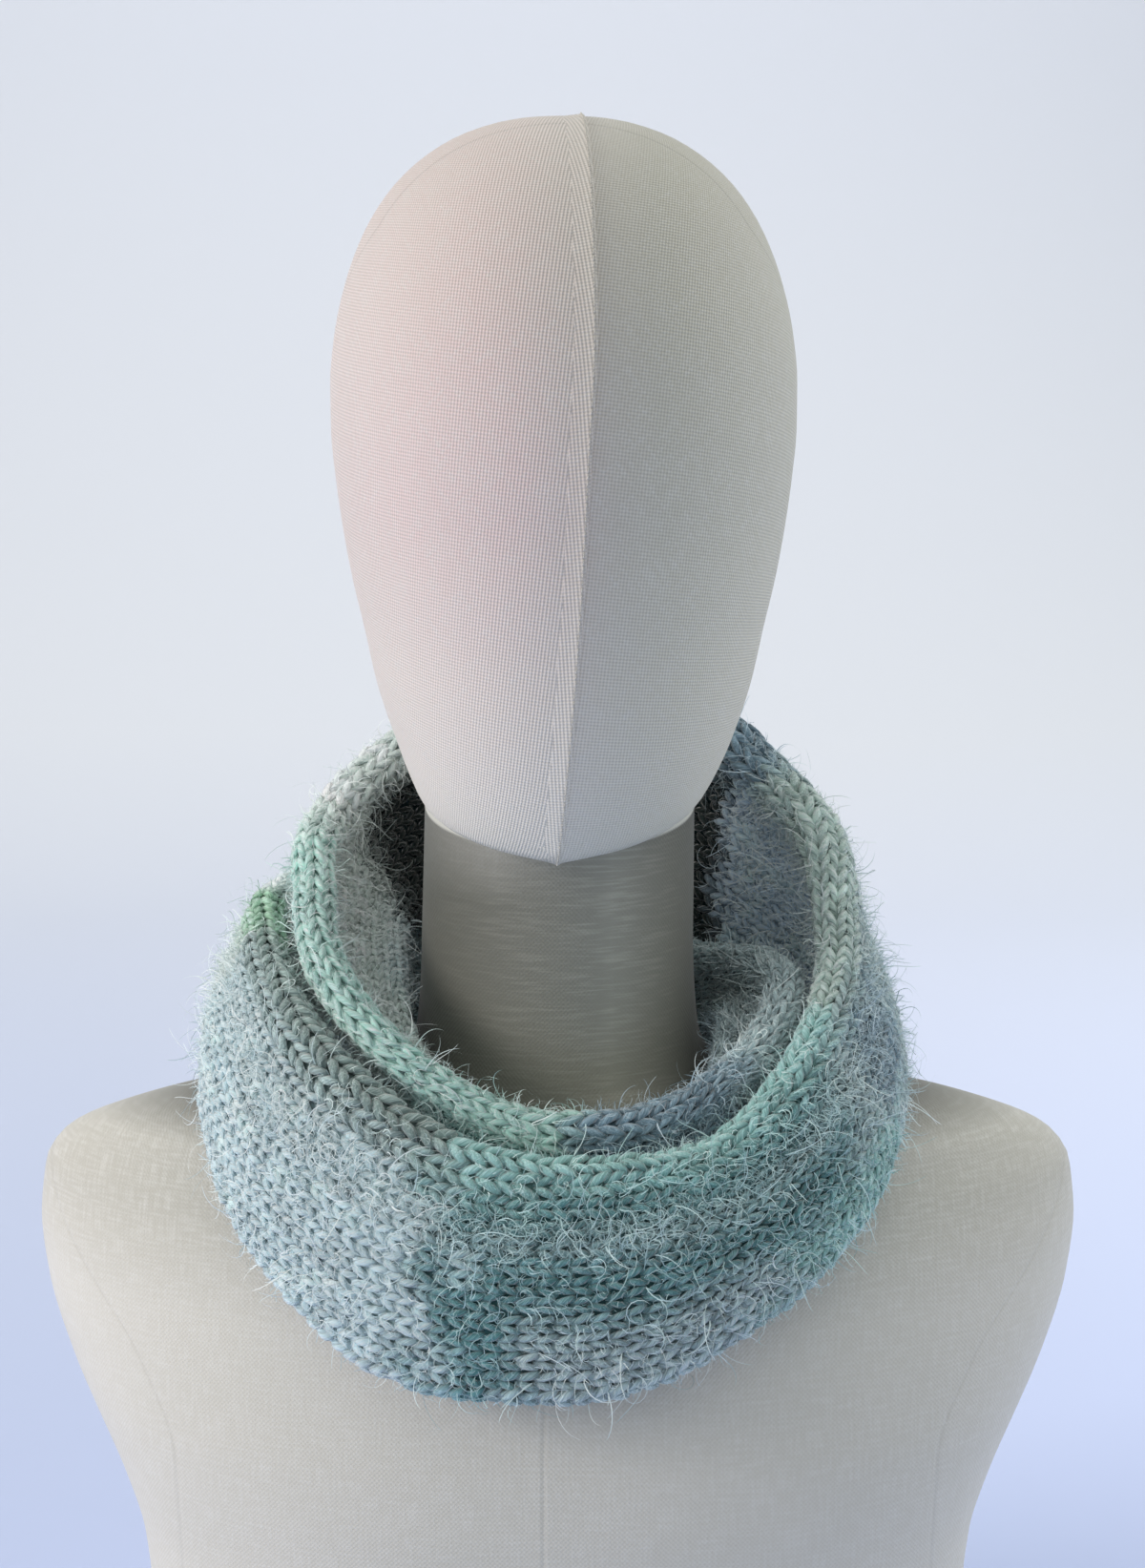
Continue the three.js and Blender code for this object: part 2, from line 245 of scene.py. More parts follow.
def new_object(name, mesh, material=None):
    thing = bpy.data.objects.new(name, mesh)
    bpy.context.scene.collection.objects.link(thing)
    if material is not None:
        mesh.materials.clear()
        mesh.materials.append(material)
    return thing


profile = stage_profile()
stage_points = [(x, y, z) for y, z in profile for x in (-STAGE_HALF_WIDTH, STAGE_HALF_WIDTH)]
stage_faces = [(2 * i, 2 * i + 1, 2 * i + 3, 2 * i + 2) for i in range(len(profile) - 1)]
wall_paint, bench = new_material("wall_paint")
place = bench.node("ShaderNodeTexCoord", output="Object")
patches = bench.noise(place, 0.7, 1.0)
# Painted light and shade on the stage: darker and bluer near the front of the floor, lighter further back and up, and
# lighter and bluer at the right; the noise is patchy tone.
rise = bench.clamp(bench.part(place, "Y") * 0.45 + bench.part(place, "Z") * 0.3 + (patches - 0.5) * 0.2)
low_wall_light_and_shade = bench.mix(bench.clamp(0.5 + bench.part(place, "X") * 1.4), paint("#b9c5e4"), paint("#ccd8fb"))
bench.surface({"Base Color": bench.mix(rise, low_wall_light_and_shade, paint("#e1e4ea")), "Roughness": 0.95})
floor_and_wall = new_object("floor_and_wall", new_mesh("floor_and_wall", stage_points, stage_faces), wall_paint)
floor_and_wall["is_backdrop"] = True

# %% Lights
def soft_panel(name, place, aim, width, height, power, tint):
    data = bpy.data.lights.new(name, "AREA")
    data.shape = "RECTANGLE"
    data.size = width
    data.size_y = height
    data.energy = power
    data.color = paint(tint)[:3]
    lamp = bpy.data.objects.new(name, data)
    lamp.location = place
    direction = Vector(aim) - Vector(place)
    lamp.rotation_euler = direction.to_track_quat("-Z", "Y").to_euler()
    bpy.context.scene.collection.objects.link(lamp)
    return lamp


soft_panel("window_left", (-2.1, -0.55, 0.95), (0, 0, 0.42), 0.9, 0.8, 31, "#fff8f4")
soft_panel("fill_right", (1.7, 0.7, 1.2), (0, 0, 0.4), 1.2, 1.4, 14, "#fbfaf2")
soft_panel("wall_wash", (0, 0.9, 2.9), (0, 2.7, 0.9), 3.0, 0.8, 30, "#fbfbff")
world = bpy.data.worlds.new("pale_room")
world.use_nodes = True
world.node_tree.nodes["Background"].inputs["Color"].default_value = paint("#e6eae8")
world.node_tree.nodes["Background"].inputs["Strength"].default_value = 0.62
bpy.context.scene.world = world
bpy.context.scene.view_settings.view_transform = "Standard"

# %% [markdown]
# ## Smooth curves through a short table
#
# The form and the scarf are both drawn as a maker would measure them: a short table of widths, depths
# and heights, with a smooth curve through each column. The curve used here never swings past its rows,
# so a table that narrows never bulges by accident.

# %% Curves through tables
def smooth_curve(keys, values):
    keys, values = np.asarray(keys, float), np.asarray(values, float)
    spans = np.diff(keys)
    slopes = np.diff(values) / spans
    before, after = slopes[:-1], slopes[1:]
    total = np.where(before * after > 0, before + after, 1.0)
    middle = np.where(before * after > 0, 2 * before * after / total, 0.0)
    tangents = np.concatenate([slopes[:1], middle, slopes[-1:]])

    def at(key):
        i = np.clip(np.searchsorted(keys, key, side="right") - 1, 0, len(spans) - 1)
        u = (key - keys[i]) / spans[i]
        rise = u * u * (3 - 2 * u)
        bend = spans[i] * u * (1 - u) * (tangents[i] * (1 - u) - tangents[i + 1] * u)
        return values[i] * (1 - rise) + values[i + 1] * rise + bend

    return at


def smooth_table(names, rows, keys):
    """A function that gives every column of the table at a key."""
    curves = {name: smooth_curve(keys, column) for name, column in zip(names, zip(*rows))}
    return lambda key: {name: curve(key) for name, curve in curves.items()}

# %% [markdown]
# ## The dress form
#
# The form is a moulded bust with a limbless shoulder and a smooth egg of a head, both covered in cream
# canvas. Each row of the tables is one level ring: its height, half its width, its front and its back,
# the middle of its width, how square it is, how far its sides are swept back, and how much it rises
# towards the back. A loft through such rings is the surest way to a shape that is read off a photograph
# ring by ring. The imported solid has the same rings; here there are more of them, and more points round.

# %% Tables of the form, in millimetres
RING_COLUMNS = ("z", "half_width", "front", "back", "middle", "square", "sweep", "slope")
TORSO_RINGS = (
    (0, 157, -100, 86, 0, 2.3, 0, 0), (62, 157, -107, 92, 0, 2.3, 0, 0), (87, 159.5, -108, 94, 0, 2.3, 1, 0),
    (112, 168, -108, 96, 0, 2.25, 3, 0), (134, 179, -106, 97, 0, 2.2, 6, 0), (155, 190, -101, 97, 0, 2.1, 9, 0),
    (178, 199, -93, 95, 0, 2, 12, 0), (202, 203, -81, 91, 0, 1.95, 14, 0), (218, 202, -69, 86, 0, 1.9, 15, 0),
    (229, 195, -59, 81, 0, 1.85, 15, 0), (238, 177, -53, 76, 0, 1.85, 13, 0), (249, 138, -48, 69, 0, 1.9, 9, 0),
    (255, 102, -46, 64, 0, 1.95, 5, 0), (259, 76, -45, 61, 0, 2, 2, 0), (264, 61, -44.5, 59, 0, 2, 0, 0.01),
    (272, 55, -44.5, 58, 0, 2, 0, 0.03), (286, 53, -45, 57.5, 0, 2, 0, 0.06), (305, 52, -46, 57.5, 0, 2, 0, 0.1),
    (335, 51.5, -47, 58, 0.5, 2, 0, 0.16), (367, 51, -48, 58, 1, 2, 0, 0.19),
)
HEAD_RINGS = (
    (367.3, 48.5, -68, 58.5, 1, 2, 0, 0.19), (370, 51.5, -72, 60, 1.2, 2, 0, 0.19), (380, 56.5, -83, 62, 2, 2, 0, 0.17),
    (398, 63.3, -96, 66, 2.7, 2, 0, 0.13), (415, 68.8, -104, 71, 2.7, 2, 0, 0.09),
    (433, 72.8, -110, 75.5, 2.7, 2, 0, 0.05),
    (450, 76.8, -115, 79, 2.7, 2, 0, 0.02), (468, 80, -118.5, 82, 2.7, 2, 0, 0), (485, 82.2, -121, 84, 2.7, 2, 0, 0),
    (502, 83.7, -122, 85.5, 2.7, 2, 0, 0), (519, 83.8, -121, 86, 2.7, 2, 0, 0), (536, 82.2, -117.5, 84.5, 2.7, 2, 0, 0),
    (553, 78.5, -110.5, 80, 2.7, 2, 0, 0), (570, 72.3, -100, 71.5, 2.7, 2, 0, 0), (586, 62.5, -85, 58, 2.7, 2, 0, 0),
    (598, 50, -68.5, 42, 2.7, 2, 0, 0), (606, 36, -51.5, 25, 2.7, 2, 0, 0), (610.5, 21, -34.5, 8.5, 2.7, 2, 0, 0),
    (612, 7, -20, -6, 2.7, 2, 0, 0),
)
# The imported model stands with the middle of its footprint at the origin, which moves the tables back.
FORM_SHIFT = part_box("form_head")[0].y / MM - min(row[2] for row in HEAD_RINGS)
print(f"tables move {FORM_SHIFT:.2f} mm towards the back")


# %% Rings and skins
def in_metres(points):
    """Points in the tables' millimetres, brought to the model's frame."""
    return (points + (0, FORM_SHIFT, 0)) * MM


def running_total(steps):
    return np.concatenate([[0], np.cumsum(steps)])


def form_rings(rows, step, count):
    """Rings of points about step apart, each from the back round the right side and the front."""
    z, half_width = np.array([row[0] for row in rows]), np.array([row[1] for row in rows])
    run = running_total(np.hypot(np.diff(z), np.diff(half_width)))
    table = smooth_table(RING_COLUMNS, rows, run)
    ring = {k: v[:, None] for k, v in table(np.linspace(0, run[-1], round(run[-1] / step) + 1)).items()}
    angle = -math.pi / 2 + 2 * math.pi * np.arange(count)[None, :] / count
    c, s = np.cos(angle), -np.sin(angle)
    power = 2 / ring["square"]
    depth, middle_y = (ring["back"] - ring["front"]) / 2, (ring["back"] + ring["front"]) / 2
    x = ring["middle"] + ring["half_width"] * np.sign(c) * np.abs(c) ** power
    y = middle_y + ring["sweep"] * np.abs(c) ** 3 + depth * np.sign(s) * np.abs(s) ** power
    return np.stack([x, y, ring["z"] + ring["slope"] * y], axis=2)


def skin(name, rings):
    """A closed mesh over the rings, with cloth coordinates in metres measured from the middle of the front."""
    rows, count = rings.shape[:2]
    points = np.concatenate([rings.reshape(-1, 3), [rings[0].mean(0), rings[-1].mean(0)]])
    faces = [(a, d, c, b) for a, b, c, d in belt(rows, count)]
    bottom, top, last = rows * count, rows * count + 1, (rows - 1) * count
    faces += [(bottom, i, (i + 1) % count) for i in range(count)]
    faces += [(top, last + (i + 1) % count, last + i) for i in range(count)]
    mesh = new_mesh(name, in_metres(points), faces)

    closed = np.concatenate([rings, rings[:, :1]], axis=1)
    around = np.stack([running_total(steps) for steps in np.linalg.norm(np.diff(closed, axis=1), axis=2)])
    around -= around[:, -1:] / 2
    up = running_total(np.linalg.norm(np.diff(rings[:, count // 2], axis=0), axis=1))
    cloth = mesh.uv_layers.new(name="cloth")
    for face, polygon in zip(faces, mesh.polygons):
        columns = [v % count for v in face if v < rows * count]
        for corner, v in zip(polygon.loop_indices, face):
            if v >= rows * count:
                cloth.data[corner].uv = (0, up[0] * MM if v == bottom else up[-1] * MM)
                continue
            row, column = divmod(v, count)
            wrapped = count if column == 0 and max(columns) == count - 1 else column
            cloth.data[corner].uv = (around[row, wrapped] * MM, up[row] * MM)
    return mesh

# %% [markdown]
# ## Where the form is sewn
#
# Canvas can't cover a bust in one piece, so the form has seams: one up the middle of the head and one
# over the crown from ear to ear, one round each armhole, and one down the chest and the back. Only the
# head's middle seam stands up, and it gets a mesh of its own below. The others are shallow furrows. Each
# point of the mesh keeps its distances to them, and the material presses the furrow from those numbers,
# which stays sharp however coarse the mesh is. The neck's points also keep a level that tilts with the
# jaw, from which the material paints the end of the neck's cover just below it: a groove of painted
# shade and a line of painted highlight.

# %% Distances to the seams
ARMHOLE_HEIGHTS = (0, 91, 107, 135, 144, 158, 171, 184, 193, 209, 223, 240)
ARMHOLE_WIDTHS = (136.6, 136.6, 136.8, 137.5, 139.5, 147, 155.5, 168.5, 177.5, 191.5, 198.5, 203)
armhole_at = smooth_curve(ARMHOLE_HEIGHTS, ARMHOLE_WIDTHS)
HEAD_SEAM_HEIGHTS = (366, 380, 400, 420, 440, 457, 492, 532, 579, 593, 605, 613)
HEAD_SEAM_PLACES = (0.4, 2.3, 4.6, 6.6, 8.3, 9.5, 11.3, 13.1, 12.2, 11.3, 10.2, 8.5)
head_seam_at = smooth_curve(HEAD_SEAM_HEIGHTS, HEAD_SEAM_PLACES)
CHEST_SEAM_X = -4.2
CROWN_SEAM_Y = -53
CROWN_SEAM_SLOPE = 0.85
FAR_FROM_SEAMS = 60.0
JAW_TILT = 0.19


def keep_numbers(mesh, name, values, kind="FLOAT", field="value"):
    attribute = mesh.attributes.new(name, kind, "POINT")
    attribute.data.foreach_set(field, np.ascontiguousarray(values, np.float32).ravel())


def with_pole_values(rings_values):
    return np.concatenate([rings_values.ravel(), [rings_values[0].mean(), rings_values[-1].mean()]])


torso = form_rings(TORSO_RINGS, 5, 136)
x, y, z = torso[..., 0], torso[..., 1], torso[..., 2]
torso_mesh = skin("canvas_body", torso)
keep_numbers(torso_mesh, "side_seam", with_pole_values(np.abs(x) - armhole_at(np.clip(z, 0, 240))))
keep_numbers(torso_mesh, "neck_level", with_pole_values(z - JAW_TILT * y))
keep_numbers(torso_mesh, "middle_seam", with_pole_values(np.where(z < 250, x - CHEST_SEAM_X, FAR_FROM_SEAMS)))

# The cover is drawn out a little along the head's middle seam, most at the chin.
KEEL_HEIGHT, KEEL_REACH = 1.8, 16
CHIN_DROP, CHIN_REACH, CHIN_TOP, CHIN_FADE = 3.0, 14, 385, 30
HEAD_SEAM_ENDS = (366, 613)


def chin_drop(x, z):
    beside_seam = np.abs(x - head_seam_at(HEAD_SEAM_ENDS[0]))
    return CHIN_DROP * np.exp(-beside_seam / CHIN_REACH) * np.clip((CHIN_TOP - z) / CHIN_FADE, 0, 1)


def keel(x, y, z):
    beside_seam = np.abs(x - head_seam_at(np.clip(z, *HEAD_SEAM_ENDS)))
    in_front = np.clip((-y - 20) / 30, 0, 1) * np.clip((612 - z) / 20, 0, 1)
    return KEEL_HEIGHT * (np.exp(-beside_seam / KEEL_REACH) - 0.45) * in_front


head = form_rings(HEAD_RINGS, 5, 112)
x, y, z = head[..., 0], head[..., 1], head[..., 2]
z -= chin_drop(x, z) * np.clip((-y - 50) / 10, 0, 1)
head[..., 1] -= keel(x, y, z)
head_mesh = skin("canvas_head", head)
crown_seam = CROWN_SEAM_Y + CROWN_SEAM_SLOPE * np.clip(570 - z, 0, 200)
keep_numbers(head_mesh, "side_seam", with_pole_values(y - crown_seam))
keep_numbers(head_mesh, "middle_seam", with_pole_values(np.where(y > 10, x - 3, FAR_FROM_SEAMS)))
print("form:", len(torso_mesh.polygons) + len(head_mesh.polygons), "faces")

# %% [markdown]
# ## Canvas
#
# A plain weave: threads pass over and under one another about once a millimetre, thicker here and
# thinner there. The product of two waves across the cloth coordinates gives that small check, and noise
# stretched along each thread gives the slubs. On the head the cloth is cut on the bias, so the weave
# runs slantwise there. The furrow at each seam is darker where dust and shade gather.
#
# Some of what follows is painted shade and not the cloth's own colour. The photograph has a rosy left
# half and a paler jaw on the head, greyer shoulders, and a dark neck with level threads, a wedge of light
# under the jaw and a pale collar line. The lamps above don't give these, so the canvas does.

# %% Canvas material
THREAD_PITCH = 1.7
# Where the painted light and shade lie: metres on the form, millimetres for the two levels of the collar.
WARM_LIGHT_X, WARM_LIGHT_Z, WARM_LIGHT_WIDE, WARM_LIGHT_HIGH = -0.03, 0.48, 0.065, 0.17
JAW_BELOW, SHOULDER_ABOVE, NECK_ABOVE = 0.47, 0.185, 0.236
WEDGE_X, WEDGE_WIDE, WEDGE_ABOVE = -0.022, 0.034, 0.332
COLLAR_GROOVE, COLLAR_LINE = 365.6, 362.6


def painted_head(bench, colour, x, z):
    """Painted light on the head's jaw, and painted shade on its right half."""
    colour = bench.mix(bench.clamp((JAW_BELOW - z) * 9) * 0.8, colour, paint("#fdf8ec"))
    return bench.mix(bench.clamp(x * 25) * 0.5, colour, paint("#d3d0ba"))


def painted_neck(bench, colour, place, x, z):
    """Painted shade on the neck, darkest at its sides and less deep low down, over its level threads; painted light in
    a wedge under the jaw; a groove of painted shade and a line of painted highlight where the neck's cover ends.
    """
    wedge = bench.clamp(1 - abs(x - WEDGE_X) / WEDGE_WIDE) * bench.clamp((z - WEDGE_ABOVE) * 40)
    at_sides = bench.clamp(0.32 + x * -13) + bench.clamp((x - 0.02) * 32)
    threads = bench.noise(bench.stretched(place, (70.0, 70.0, 1000.0)), 1.0, 2.0)
    plain = bench.mix(bench.clamp((0.30 - z) * 14), paint("#a09f93"), paint("#b3b1a1"))
    threaded = bench.mix(bench.clamp((threads - 0.5) * 4 + 0.1) * 0.5, plain, paint("#c6c4b6"))
    shaded = bench.mix(bench.clamp(at_sides), threaded, paint("#4a4b44"))
    colour = bench.mix(bench.clamp((z - NECK_ABOVE) * 60) * (1 - wedge * 0.5), colour, shaded)
    level = bench.attribute("neck_level")
    # A dark line of painted shade just under the jaw, and below it a pale line of painted highlight on the edge of the
    # neck's cover.
    colour = bench.mix(bench.clamp(1 - abs(level - COLLAR_GROOVE) / 1.6) * 0.7, colour, paint("#45463f"))
    return bench.mix(bench.clamp(1.6 - abs(level - COLLAR_LINE)) * 0.8, colour, paint("#d9d8cd"))


def canvas_material(name, turn_weave, warm_light, coarse, seams):
    material, bench = new_material(name)
    cloth = bench.node("ShaderNodeUVMap", {"uv_map": "cloth"})
    turned = bench.node("ShaderNodeMapping", inputs={"Vector": cloth, "Rotation": (0, 0, turn_weave)})
    per_metre = 2 * math.pi / (THREAD_PITCH * MM)
    weave = (bench.maths("SINE", bench.part(turned, "X") * per_metre)
             * bench.maths("SINE", bench.part(turned, "Y") * per_metre))
    slubs = (bench.noise(bench.stretched(turned, (900.0, 90.0, 1.0)), 1.0, 2.0)
             + bench.noise(bench.stretched(turned, (90.0, 900.0, 1.0)), 1.0, 2.0))
    place = bench.node("ShaderNodeTexCoord", output="Object")
    x, z = bench.part(place, "X"), bench.part(place, "Z")
    distance = bench.maths("MINIMUM", abs(bench.attribute("side_seam")), abs(bench.attribute("middle_seam")))
    furrow = bench.clamp(1 - distance / 1.3) * seams
    shoulder = bench.clamp(1 - distance / 6.0) * seams

    ageing = bench.noise(place, 9.0, 3.0)
    colour = bench.mix(bench.clamp(ageing * 1.6 - 0.3), paint("#d6d3c9"), paint("#e0dcd3"))
    # Painted warm light, pink, over the head's left half and strongest in a patch high on the left.
    warm_light_spot = bench.clamp(warm_light * (1 - abs(x - WARM_LIGHT_X) / WARM_LIGHT_WIDE) * (1 - abs(z - WARM_LIGHT_Z) / WARM_LIGHT_HIGH) * 1.5)
    lit_left_half = bench.clamp(0.6 - x * 30) * warm_light
    colour = bench.mix(lit_left_half * 0.35 + warm_light_spot * 0.5, colour, paint("#f3d9d5"))
    if name == "head_canvas":
        colour = painted_head(bench, colour, x, z)
    else:
        # Painted shade on the tops of the shoulders.
        colour = bench.mix(bench.clamp((z - SHOULDER_ABOVE) * 30) * 0.5, colour, paint("#aeaca2"))
    colour = bench.mix(bench.clamp((slubs - 0.9) * 0.9), colour, paint("#ecebe6"))
    colour = bench.mix(bench.clamp((0.13 - weave * 0.2) * coarse), colour, paint("#9d9990"))
    colour = bench.mix(furrow * 0.4, colour, paint("#8f8c84"))
    if name == "body_canvas":
        colour = painted_neck(bench, colour, place, x, z)

    height = weave * (0.2 * coarse) + slubs * 0.12 - furrow * 1.0 + (shoulder - furrow) * 0.35
    bench.surface({"Base Color": colour, "Roughness": bench.clamp(0.86 + slubs * 0.06),
                   "Normal": bench.bump(0.55, 0.0009, height),
                   "Sheen Weight": 0.25, "Sheen Roughness": 0.5, "Specular IOR Level": 0.2})
    return material


head_canvas = canvas_material("head_canvas", math.radians(38), 1.0, 1.7, 0.6)
canvas_body = new_object("canvas_body", torso_mesh, canvas_material("body_canvas", 0.0, 0.0, 0.4, 0.22))
canvas_head = new_object("canvas_head", head_mesh, head_canvas)
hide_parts("form_body")
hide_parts("form_head")

# %% [markdown]
# ## The raised seam of the head
#
# The two halves of the head's cover meet in a felled seam: the left edge is folded under, laid over the
# right one and sewn down, so it is a low step that rises gently from the left and drops on the right.
# It is swept as a strip along the seam's line, with its foot sunk in the canvas and the same cloth on
# it. The thread that holds it is a row of small stitches, and rows of equal things are what Geometry
# Nodes are for: a line of points becomes a line of stitches, each turned along the seam.

# %% Felled seam
head_table = smooth_table(RING_COLUMNS, HEAD_RINGS, [row[0] for row in HEAD_RINGS])


def head_front(x, z):
    """The point of the head's front with that x, on the ring that belongs to z."""
    ring = head_table(z)
    depth, middle_y = (ring["back"] - ring["front"]) / 2, (ring["back"] + ring["front"]) / 2
    c = np.clip((x - ring["middle"]) / ring["half_width"], -0.999, 0.999)
    y = middle_y - depth * np.sqrt(1 - c * c)
    high = z + ring["slope"] * y
    return np.stack([x, y - keel(x, y, high), high - chin_drop(x, high)], axis=-1)


def unit(vectors):
    return vectors / np.linalg.norm(vectors, axis=-1, keepdims=True)


seam_heights = 368 + (610.2 - 368) * np.sin(np.linspace(0, math.pi / 2, 90)) ** 0.9
seam_line = head_front(head_seam_at(seam_heights), seam_heights)
seam_along = unit(np.gradient(seam_line, axis=0))
beside_line = head_front(head_seam_at(seam_heights) + 0.5, seam_heights)
aside = beside_line - seam_line
seam_across = unit(aside - seam_along * np.sum(aside * seam_along, axis=1, keepdims=True))
seam_out = unit(np.cross(seam_across, seam_along))
FELL_SECTION = ((-13, -0.8), (-10, -0.35), (-7, -0.05), (-4.2, 0.2), (-2.2, 0.42), (-1.1, 0.75), (0.0, 0.9), (0.6, 0.6),
                (0.8, 0.0), (0.75, -0.6))
fell_rings = np.stack([head_front(head_seam_at(seam_heights) + a, seam_heights) + seam_out * o
                       for a, o in FELL_SECTION], axis=1)
sides = len(FELL_SECTION)
fell_faces = belt(len(seam_line), sides)
fell_faces += [tuple(range(sides))[::-1], tuple((len(seam_line) - 1) * sides + i for i in range(sides))]
fell_mesh = new_mesh("head_seam", in_metres(fell_rings.reshape(-1, 3)), fell_faces)

seam_run = np.concatenate([[0], np.cumsum(np.linalg.norm(np.diff(seam_line, axis=0), axis=1))])
cloth = fell_mesh.uv_layers.new(name="cloth")
for loop in fell_mesh.loops:
    row, side = divmod(loop.vertex_index, sides)
    cloth.data[loop.index].uv = (FELL_SECTION[side][0] * MM, seam_run[row] * MM)
for seam in ("side_seam", "middle_seam"):
    keep_numbers(fell_mesh, seam, np.full(len(fell_mesh.vertices), FAR_FROM_SEAMS))
head_seam = new_object("head_seam", fell_mesh, head_canvas)
print(f"head seam {np.linalg.norm(np.diff(seam_line, axis=0), axis=1).sum():.0f} mm long")

# %% Points that carry a frame
def anchor_points(name, places, along, out, sizes, dye=None):
    """Loose points in metres, each with its own direction along, direction out and size."""
    mesh = new_mesh(name, places, [])
    keep_numbers(mesh, "along", along, "FLOAT_VECTOR", "vector")
    keep_numbers(mesh, "out", out, "FLOAT_VECTOR", "vector")
    keep_numbers(mesh, "size", sizes, "FLOAT_VECTOR", "vector")
    if dye is not None:
        keep_numbers(mesh, "dye", dye, "FLOAT_COLOR", "color")
    return new_object(name, mesh)


def node_group(name, inputs):
    """A Geometry Nodes tree with named inputs; gives the tree, its bench and a way to each input."""
    tree = bpy.data.node_groups.new(name, "GeometryNodeTree")
    tree.interface.new_socket("Geometry", in_out="INPUT", socket_type="NodeSocketGeometry")
    for label, kind in inputs.items():
        tree.interface.new_socket(label, in_out="INPUT", socket_type="NodeSocket" + kind)
    tree.interface.new_socket("Geometry", in_out="OUTPUT", socket_type="NodeSocketGeometry")
    bench = Workbench(tree)
    source = tree.nodes.new("NodeGroupInput")
    return tree, bench, lambda label: Signal(bench, source.outputs[label])


def grown_mesh(carrier, tree, values, name):
    """Runs a tree on an object, keeps the result as a plain mesh and removes the carrier."""
    modifier = carrier.modifiers.new(tree.name, "NODES")
    modifier.node_group = tree
    for item in tree.interface.items_tree:
        if item.item_type == "SOCKET" and item.in_out == "INPUT" and item.name in values:
            modifier[item.identifier] = values[item.name]
    carrier.update_tag()
    graph = bpy.context.evaluated_depsgraph_get()
    mesh = bpy.data.meshes.new_from_object(carrier.evaluated_get(graph))
    mesh.name = name
    bpy.data.objects.remove(carrier)
    return mesh


def end_with_copies(bench, given, copies, seed):
    """Ends a tree: each copy gets a number by chance, then all turn into real mesh with the material."""
    marked = bench.node("GeometryNodeStoreNamedAttribute", {"data_type": "FLOAT", "domain": "INSTANCE"},
                        {"Geometry": copies, "Name": "chance", "Value": bench.chance(0.0, 1.0, seed)})
    real = bench.node("GeometryNodeRealizeInstances", inputs={"Geometry": marked})
    finished = bench.node("GeometryNodeSetMaterial", inputs={"Geometry": real, "Material": given("Finish")})
    bench.node("NodeGroupOutput", inputs={"Geometry": finished})


def stitching_tree():
    """Places a shape at every point, turned to the point's own directions, with a little looseness."""
    inputs = {"Shape": "Object", "Looseness": "Float", "Uneven size": "Float", "Seed": "Int", "Finish": "Material"}
    tree, bench, given = node_group("row_of_stitches", inputs)
    along = bench.node("GeometryNodeInputNamedAttribute", {"data_type": "FLOAT_VECTOR"}, {"Name": "along"}, "Attribute")
    out = bench.node("GeometryNodeInputNamedAttribute", {"data_type": "FLOAT_VECTOR"}, {"Name": "out"}, "Attribute")
    size = bench.node("GeometryNodeInputNamedAttribute", {"data_type": "FLOAT_VECTOR"}, {"Name": "size"}, "Attribute")
    turned = bench.node("FunctionNodeAxesToRotation", {"primary_axis": "Z", "secondary_axis": "Y"},
                        {"Primary Axis": out, "Secondary Axis": along})
    wander = bench.node("FunctionNodeRandomValue", {"data_type": "FLOAT_VECTOR"},
                        {"Min": (-1.0, -1.0, -1.0), "Max": (1.0, 1.0, 1.0), "Seed": given("Seed")})
    tilt = bench.node("FunctionNodeEulerToRotation", inputs={
        "Euler": bench.scaled(wander, given("Looseness"))})
    loose = bench.turned_by(turned, tilt)
    swell = bench.chance(1 - given("Uneven size"), 1 + given("Uneven size"), given("Seed") + 7)
    scale = bench.scaled(size, swell)
    shape = bench.node("GeometryNodeObjectInfo", {"transform_space": "ORIGINAL"},
                       {"Object": given("Shape")}, "Geometry")
    placed = bench.node("GeometryNodeInstanceOnPoints", inputs={
        "Points": given("Geometry"), "Instance": shape, "Rotation": loose, "Scale": scale})
    end_with_copies(bench, given, placed, given("Seed") + 3)
    return tree


row_of_stitches = stitching_tree()

# %% Thread of the felled seam
SEWING_STITCH = 2.3


def tube_mesh(name, centres, widths, sides):
    """A closed tube along a line of points, pointed or rounded at both ends by a pole."""
    centres = np.asarray(centres, float)
    along = unit(np.gradient(centres, axis=0))
    side = unit(np.cross(along, np.tile([0.0, 0.0, 1.0], (len(along), 1))) + 1e-9)
    up = np.cross(side, along)
    angles = 2 * math.pi * np.arange(sides) / sides
    points = [centres[0]]
    for c, s, u, w in zip(centres[1:-1], side[1:-1], up[1:-1], widths[1:-1]):
        points += [c + s * w * math.cos(a) + u * w * math.sin(a) for a in angles]
    points.append(centres[-1])
    rings = len(centres) - 2
    faces = [(0, 1 + i, 1 + (i + 1) % sides) for i in range(sides)]
    faces += [(a, d, c, b) for a, b, c, d in belt(rings, sides, first=1)]
    last, start = len(points) - 1, 1 + (rings - 1) * sides
    faces += [(last, start + (i + 1) % sides, start + i) for i in range(sides)]
    return new_mesh(name, points, faces)


def thread_material():
    material, bench = new_material("sewing_thread")
    place = bench.node("ShaderNodeTexCoord", output="Object")
    twist = bench.node("ShaderNodeTexWave", {"bands_direction": "DIAGONAL"},
                       {"Vector": place, "Scale": 900.0, "Distortion": 1.0})
    colour = bench.mix(twist, paint("#b5b0a6"), paint("#dcd8cf"))
    bench.surface({"Base Color": colour, "Roughness": 0.6})
    return material


